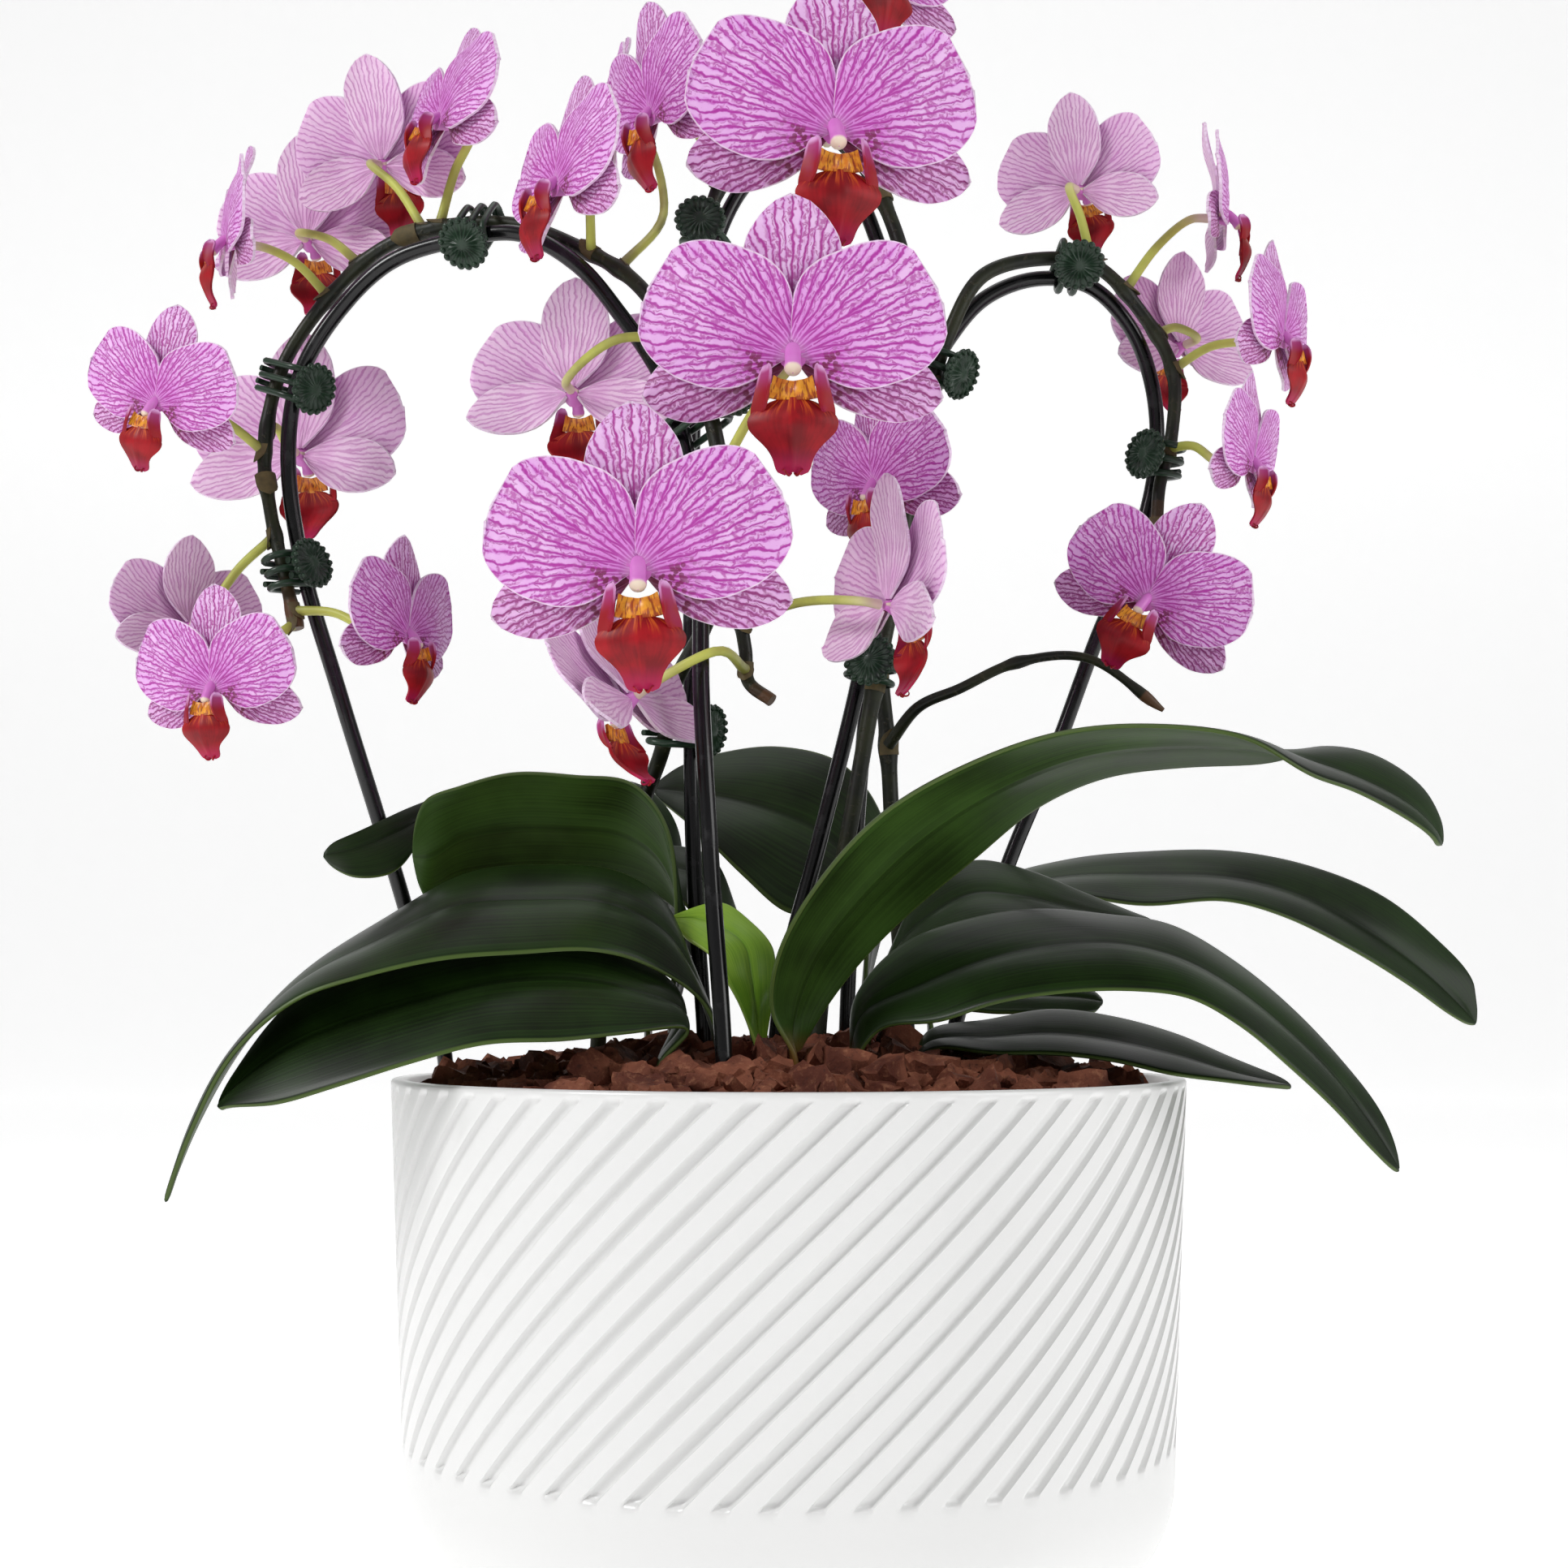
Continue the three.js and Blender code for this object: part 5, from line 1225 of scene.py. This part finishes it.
def petal_paint(name, ground, pale, vein, strength, spacing=0.24, spots=0.0, glow=0.0, linked=1.0):
    """A ground that pales between veins of a strength, a spacing in radians and a share of links.

    spots darkens the base with blots, as on the lower sepals. glow deepens the ground near the base and
    speckles the low side, which lies at the larger x of a petal's flat pattern."""
    paint = Paint(name, Sheen_Weight=0.1)
    pattern, x, y = paint.pattern("spread")
    x, y = x - 0.5, y + 0.035
    sway = paint.noise(pattern, 6, 2) - 0.5
    quiver = paint.noise(pattern, 32, 2) - 0.5
    turn = x.math("ARCTAN2", x, y) + sway * 0.14 + quiver * 0.045
    reach = (x * x + y * y).math("SQRT", x * x + y * y)
    first = vein_distance(turn, reach, spacing)
    second = vein_distance(turn, reach, spacing, spacing / 2, 0.08, 0.2)
    third = vein_distance(turn, reach, spacing / 2, spacing / 4, 0.2, 0.36)
    meshes = paint.stack(turn * 15 + quiver * 1.5, reach * 13 + sway * 2)
    net = paint.cells(meshes, 1.0, "DISTANCE_TO_EDGE")
    broken = paint.noise(pattern, 60, 3)
    core = first.rise(0.006, 0.002).larger(second.rise(0.0052, 0.0016))
    core = core.larger(third.rise(0.004, 0.0012) * broken.rise(0.3, 0.46) * 0.95)
    links = net.rise(0.1, 0.03) * broken.rise(0.38, 0.52) * reach.rise(0.1, 0.2) * (0.75 * linked)
    core = core.larger(links) * (0.75 + broken * 0.4) * (0.35 + reach.rise(0.04, 0.14) * 0.65)
    near = first.smaller(second).smaller(third)
    # between the veins the ground pales, and short dashes run the same way
    cloud = paint.noise(pattern, 9, 3)
    open_ground = near.rise(0.003, 0.0085) * reach.rise(0.12, 0.3)
    tone = paint.mix(cloud.rise(0.35, 0.7) * 0.35 + open_ground * 0.6, colour(ground), colour(pale))
    if glow:
        tone = paint.mix(reach.rise(0.32, 0.12) * glow, tone, colour("E08ADF"))
        tone = paint.mix(reach.rise(0.1, 0.05) * 0.6, tone, colour("F6DCF6"))
    dashes = paint.noise(paint.stack(turn * 30, reach * 15), 1, 2).rise(0.56, 0.68) * reach.rise(0.1, 0.2)
    tone = paint.mix(dashes * 0.4 * strength, tone, colour(vein))
    dots = paint.cells(pattern, 80).rise(0.24, 0.12) * broken.rise(0.5, 0.6)
    tone = paint.mix(dots * 0.4 * strength, tone, colour(vein))
    tone = paint.mix(core * strength, tone, colour(vein))
    if spots:
        blots = paint.cells(pattern, 38).rise(0.5, 0.3) * reach.rise(0.36, 0.2)
        tone = paint.mix(blots.larger(reach.rise(0.17, 0.1)) * spots, tone, colour("6E1038"))
    if glow:
        speckle = paint.cells(pattern, 58).rise(0.6, 0.42) * reach.rise(0.26, 0.15) * x.rise(0.015, 0.05)
        tone = paint.mix(speckle * 0.85, tone, colour("74123C"))
    across, along = paint.sheet_place()
    margin = (across - 0.5).size().rise(0.484, 0.496).larger(along.rise(0.98, 0.995))
    tone = paint.mix(margin * 0.7, tone, colour("F6E6F6"))
    relief = core * -0.6 + cloud * 0.3
    return paint.finish(tone, 0.44 + cloud * 0.12, relief, 0.00018)


petal_face = petal_paint("petal_face", "DA84DC", "F0C4F2", "AE209C", 0.98, glow=0.75)
petal_back = petal_paint("petal_back", "E4AADF", "F3D0EE", "B04CA4", 0.42, linked=0.15)
sepal_face = petal_paint("sepal_face", "D892DA", "F0CCF2", "A8208E", 0.98, 0.23)
sepal_back = petal_paint("sepal_back", "E6B2E0", "F5D8F0", "B04CA4", 0.38, 0.23, linked=0.1)
side_sepal_face = petal_paint("side_sepal_face", "CC80CA", "E9BEE8", "8C166E", 0.97, 0.21, spots=0.92)

# %% [markdown]
# The lip is velvet crimson that turns magenta at the tip, with orange streaks at its base. Its side
# lobes are crimson below and lilac-pink at their tips. The callus between them is orange with red
# stripes. The column is bright pink with a cream cap.

# %% Lip and column paint
lip_face = Paint("lip_face", Coat_Weight=0.08, Coat_Roughness=0.3, Specular_IOR_Level=0.25)
across, along = lip_face.sheet_place()
cloud = lip_face.noise(lip_face.place(), 130, 4)
lines = lip_face.noise(lip_face.stack(across * 26, along * 2), 1, 3)
tone = lip_face.mix((cloud * 0.75 + lines * 0.25).rise(0.35, 0.65), colour("780510"), colour("A80F1B"))
streaks = lines.rise(0.48, 0.6) * along.rise(0.3, 0.02)
tone = lip_face.mix(streaks * 0.8, tone, colour("D8621C"))
tone = lip_face.mix(along.rise(0.6, 1.0) * 0.7, tone, colour("B81E5C"))
lip_face.finish(tone, 0.42 + cloud * 0.15, cloud, 0.00012)

lobe_face = Paint("side_lobe", Specular_IOR_Level=0.3)
across, along = lobe_face.sheet_place()
cloud = lobe_face.noise(lobe_face.place(), 140, 3)
tone = lobe_face.mix(along.rise(0.4, 0.9), colour("960A18"), colour("A83A78"))
rim = ((across - 0.5).size().rise(0.36, 0.46) * 0.7).larger(along.rise(0.82, 0.97))
tone = lobe_face.mix(rim * along.rise(0.5, 0.85), tone, colour("DDA2D6"))
tone = lobe_face.mix(cloud.rise(0.5, 0.7) * 0.35, tone, colour("8E1A5E"))
lobe_face.finish(tone, 0.42 + cloud * 0.12, cloud, 0.0001)

callus_face = Paint("callus", Coat_Weight=0.2, Coat_Roughness=0.25)
across, along = callus_face.sheet_place()
blotch = callus_face.noise(callus_face.place(), 420, 3)
bars = callus_face.noise(callus_face.stack(across * 15, along * 1.5), 1, 2)
tone = callus_face.mix(blotch.rise(0.4, 0.62), colour("F0A22A"), colour("D87818"))
tone = callus_face.mix(bars.rise(0.49, 0.6) * 0.8, tone, colour("8A1C14"))
callus_face.finish(tone, 0.36 + blotch * 0.15, blotch, 0.00015)

column_face = Paint("column", Coat_Weight=0.15, Coat_Roughness=0.3)
across, along = column_face.sheet_place()
cloud = column_face.noise(column_face.place(), 220, 3)
tone = column_face.mix(cloud * 0.5, colour("D66CCB"), colour("EAA6E4"))
tone = column_face.mix(along.rise(0.86, 0.93), tone, colour("F4E2CC"))
column_face.finish(tone, 0.38 + cloud * 0.12, cloud, 0.00008)

# %% [markdown]
# ## The petals
#
# A flower has three sepals behind and two broad petals in front of them. Each is a fine grid bent to
# its form: the outline gives the width at each place along it, the middle is grooved, the blade curls
# back towards its tip and its margin waves slightly. Solidify gives the flesh its thickness and keeps
# the back as a paler material. Every form is made for a large and for a small flower.

# %% Tepal forms
fan_outline = through([
    (0, 0.07), (0.06, 0.26), (0.15, 0.6), (0.28, 0.87), (0.44, 0.99), (0.6, 1),
    (0.75, 0.93), (0.87, 0.77), (0.94, 0.59), (0.985, 0.32), (1, 0.04),
])
sepal_outline = through([
    (0, 0.1), (0.1, 0.42), (0.24, 0.78), (0.4, 0.96), (0.54, 1),
    (0.7, 0.93), (0.84, 0.7), (0.93, 0.44), (0.985, 0.2), (1, 0.03),
])
TEPAL_THICKNESS, LIP_THICKNESS, LOBE_THICKNESS, CALLUS_THICKNESS = 0.85, 0.8, 0.7, 1.0
TEPAL_ROOT = 0.048  # where a tepal springs, as a share of the flower's width

# angle from straight up, length and half width as shares of the full width, setback in mm,
# curl, edge bend, outline, face and back
TEPALS = [
    (0, 0.55, 0.165, 2.6, 0.1, 0.06, sepal_outline, sepal_face, sepal_back),
    (104, 0.5, 0.125, 2.6, 0.1, 0.06, sepal_outline, side_sepal_face, sepal_back),
    (256, 0.5, 0.125, 2.6, 0.1, 0.06, sepal_outline, side_sepal_face, sepal_back),
    (68, 0.52, 0.27, 0.0, 0.1, 0.02, fan_outline, petal_face, petal_back),
    (292, 0.52, 0.27, 0.0, 0.1, 0.02, fan_outline, petal_face, petal_back),
]


def make_tepal(width, angle, length, half, setback, curl, bend, outline, face, back):
    """One sepal or petal of a flower of this width, in the flower's own axes."""
    c, s = math.cos(math.radians(angle)), math.sin(math.radians(angle))
    root = TEPAL_ROOT * width
    fan = outline is fan_outline

    def spot(u, v):
        """Across and along in mm. A petal is fuller on its upper side, and its edges lie back a little."""
        along = root * 0.6 + v * (length * width - root * 0.6)
        across = u * outline(v) * half * width
        if fan:
            across *= 0.74 if u * s > 0 else outline(v) ** -0.4
            along -= 0.05 * width * u * u * (0.25 + 0.75 * v) * (1 - v)
        return across, along

    def form(u, v):
        across, along = spot(u, v)
        depth = setback + curl * along * along / (length * width) + bend * abs(across)
        depth += 0.01 * width * math.exp(-(u / 0.16) ** 2) * (1 - 0.5 * v)
        depth += 0.012 * width * u * abs(u) ** 1.5 * math.sin(8 * v + (1.1 if fan else 0.3) + u)
        depth -= 0.02 * width * math.exp(-(((v - 0.45) / 0.3) ** 2)) * (1 - u * u) * (1 if fan else 0.4)
        return Vector((across * c + along * s, depth, -across * s + along * c)) * MM

    def flat(u, v):
        across, along = spot(u, v)
        return 0.5 + across / width * (1 if s > 0 else -1), along / width

    tepal = lay_sheet("tepal", 18 if fan else 14, 22, form, flat)
    tepal.data.materials.append(face)
    tepal.data.materials.append(back)
    return thicken(tepal, TEPAL_THICKNESS)


# %% [markdown]
# ## The lip
#
# The lip hangs below the column: a spade-shaped middle lobe with two fine tendrils, two side lobes that
# stand up like small wings, and the callus between them. These are bent grids as well, the callus a
# saddle with two humps, and the tendrils are tapered rods. The column above it is a rounded, drooping
# bar with a cap, made as a grid rolled round its middle line. It stands on the hub, a short rod that the
# tepals spring from.

# %% Lip, column and hub
spade_outline = through([
    (0, 0.07), (0.08, 0.1), (0.2, 0.134), (0.3, 0.143), (0.4, 0.138), (0.5, 0.12),
    (0.6, 0.096), (0.7, 0.076), (0.8, 0.063), (0.92, 0.054), (0.98, 0.043), (1, 0.026),
])
spade_reach = through([(0, 0.1), (0.33, 0.127), (0.66, 0.1), (1, 0.052)])
lobe_outline = through([(0, 0.75), (0.2, 1), (0.5, 0.92), (0.8, 0.78), (0.95, 0.5), (1, 0.2)])
column_girth = through([
    (0, 0.016), (0.2, 0.024), (0.5, 0.026), (0.75, 0.026),
    (0.86, 0.029), (0.94, 0.025), (0.98, 0.014), (1, 0.002),
])
CURL_STEPS, CURL_TURN, CURL_RADIUS = 24, 300, 0.018


def keep_patterns(pieces, *names):
    """Gives each piece the flat patterns that it lacks, so that all have them when they are joined."""
    for piece in pieces:
        for name in names:
            if name not in piece.data.uv_layers:
                piece.data.uv_layers.new(name=name)


def make_lip(width, sink):
    """The lip of a flower of this width, lowered by that share of it, in the flower's own axes."""
    w = width * MM

    def spade(u, v):
        across = u * spade_outline(v)
        ahead = spade_reach(v) - 2.2 * across * across + 0.006 * math.exp(-(u / 0.12) ** 2)
        notch = 0.012 * (1 - abs(u)) * max(0.0, v - 0.9) / 0.1 - 0.014 * u * u * (1 - v) ** 4
        return Vector((across, -ahead, -0.124 - 0.237 * v + notch - sink)) * w

    middle = lay_sheet("spade", 16, 24, spade)
    middle.data.materials.append(lip_face.material)
    pieces = [thicken(middle, LIP_THICKNESS, back=0)]
    for side in (-1, 1):

        def wing(u, v, side=side):
            spread = u * lobe_outline(v)
            out = 0.116 - 0.045 * v + 0.014 * v * v + 0.024 * spread - 0.008 * (1 - u * u)
            ahead = 0.088 + 0.02 * math.sin(math.pi * v) - 0.04 * spread * (0.4 + 0.6 * v)
            return Vector((side * out, -ahead, -0.178 + 0.163 * v - 0.006 * spread - sink)) * w

        lobe = lay_sheet("lobe", 8, 16, wing)
        lobe.data.materials.append(lobe_face.material)
        pieces.append(thicken(lobe, LOBE_THICKNESS, back=0))

    def saddle(u, v):
        across = u * (0.062 + 0.016 * v)
        humps = 0.012 * math.exp(-((abs(u) - 0.3) / 0.2) ** 2) * math.sin(math.pi * min(1, 1.2 * v))
        ahead = 0.085 + 0.018 * v + humps
        return Vector((across, -ahead, -0.07 - 0.062 * v + 0.02 * u * u * (1 - 0.5 * v) - sink)) * w

    callus = lay_sheet("callus", 16, 12, saddle)
    callus.data.materials.append(callus_face.material)
    pieces.append(thicken(callus, CALLUS_THICKNESS, back=0))
    tip = Vector((0, -0.052, -0.353 - sink)) * width
    curls = []
    for side in (-1, 1):
        curl = []
        for i in range(CURL_STEPS + 1):
            a = math.radians(CURL_TURN * i / CURL_STEPS)
            r = CURL_RADIUS * (1 - 0.5 * i / CURL_STEPS)
            out = side * (0.006 + 0.03 * i / CURL_STEPS)
            point = tip + Vector((out, -r * (1 - math.cos(a)), -r * math.sin(a) * 0.7)) * width
            curl.append((point, 0.42 - 0.27 * i / CURL_STEPS))
        curls.append(curl)
    tendrils = lay_rods("tendrils", curls, sides=1)
    tendrils.data.materials.append(lip_face.material)
    pieces.append(tendrils)
    keep_patterns(pieces, "spread")
    return join_up("lip_model", *pieces)


def make_column(width):
    """The column and the hub that the tepals spring from, in the flower's own axes."""

    def form(u, v):
        angle = math.pi * u
        place = Vector((0, 0.012 - 0.092 * v, 0.034 - 0.047 * v - 0.055 * v * v)) * width
        ahead = Vector((0, -0.1, -0.035 - 0.11 * v)).normalized()
        up = Vector((1, 0, 0)).cross(ahead)
        around = Vector((1, 0, 0)) * math.cos(angle) + up * math.sin(angle)
        return (place + around * column_girth(v) * width) * MM

    column = lay_sheet("column", 20, 20, form)
    choose(column)
    bpy.ops.object.mode_set(mode="EDIT")
    bpy.ops.mesh.select_mode(type="EDGE")
    bpy.ops.mesh.select_all(action="SELECT")
    bpy.ops.mesh.remove_doubles(threshold=0.00002)
    bpy.ops.mesh.select_all(action="DESELECT")
    bpy.ops.mesh.select_non_manifold()
    bpy.ops.mesh.fill()
    face_out(column, smooth=60)
    column.data.materials.append(column_face.material)
    hub_run = [(Vector((0, -0.2 + 0.7 * i, 0)), (0.03 * width) * (1 - i / 8) ** 1.3 + 1.2) for i in range(8)]
    hub = lay_rods("hub", [hub_run], sides=4)
    hub.data.materials.append(column_face.material)
    keep_patterns((column, hub), "UVMap", "spread")
    return join_up("column_model", column, hub)


# %% [markdown]
# ## Twenty-six flowers
#
# The large and the small flower are modelled once, and each of the twenty-six gets copies with their own
# mesh, scaled to its width and set at its place. No two real flowers are alike, so each copy of the tepals
# is bent a little by a slow noise with its own seed before it is placed. The lips of three large flowers
# are pieces of their own and hang a little lower, clear of their columns.

# %% Flower models
LARGE, SMALL, LARGE_FROM = 84.0, 60.0, 66  # widths in mm; wider flowers than the last are large
LOOSE_LIPS = (2, 3, 4)
LOOSE_SINK = 0.027

flower_models = {}
for kind, width in (("large", LARGE), ("small", SMALL)):
    tepals = [make_tepal(width, *row) for row in TEPALS]
    star = join_up(kind + "_star", *tepals, make_column(width))
    flower_models[kind] = (width, star, make_lip(width, 0.0))
    print(kind, "flower", len(star.data.polygons), "+", len(flower_models[kind][2].data.polygons), "faces")
loose_lip = make_lip(LARGE, LOOSE_SINK)


# %% Flowers in place
PETAL_BEND = 0.0028  # in metres


def place_copy(model, name, scale, where, seed, bend):
    """A copy of a model, bent by noise with its own seed, scaled and set at its place."""
    copy = twin(model)
    copy.name = name
    copy.data.name = name
    shift = Vector((seed * 3.7, seed * 1.3, -seed * 2.1))
    for vertex in copy.data.vertices:
        away = min(1.0, vertex.co.length / 0.03)
        vertex.co.y += bend * away * noise.noise(vertex.co * 26 + shift)
    place = where.copy()
    place.translation *= MM
    copy.data.transform(place @ Matrix.Scale(scale, 4))
    return copy


for number, centre, width, turn, tilt, roll, _, _ in BLOOMS:
    size, star, grown_lip = flower_models["large" if width > LARGE_FROM else "small"]
    where = bloom_frame(centre, turn, tilt, roll)
    node = f"bloom_{number:02d}"
    bloom = place_copy(star, node + "_tepals", width / size, where, number, PETAL_BEND)
    settle(bloom, "petal", node)
    if number in LOOSE_LIPS:
        lip = place_copy(loose_lip, f"lip_{number:02d}_lobes", width / size, where, number, 0.0)
        settle(lip, "lip", f"lip_{number:02d}")
    else:
        lip = place_copy(grown_lip, node + "_lip", width / size, where, number, 0.0)
        settle(lip, "lip", node)
for _, star, grown_lip in flower_models.values():
    bpy.data.objects.remove(star)
    bpy.data.objects.remove(grown_lip)
bpy.data.objects.remove(loose_lip)
print(len(BLOOMS), "flowers")
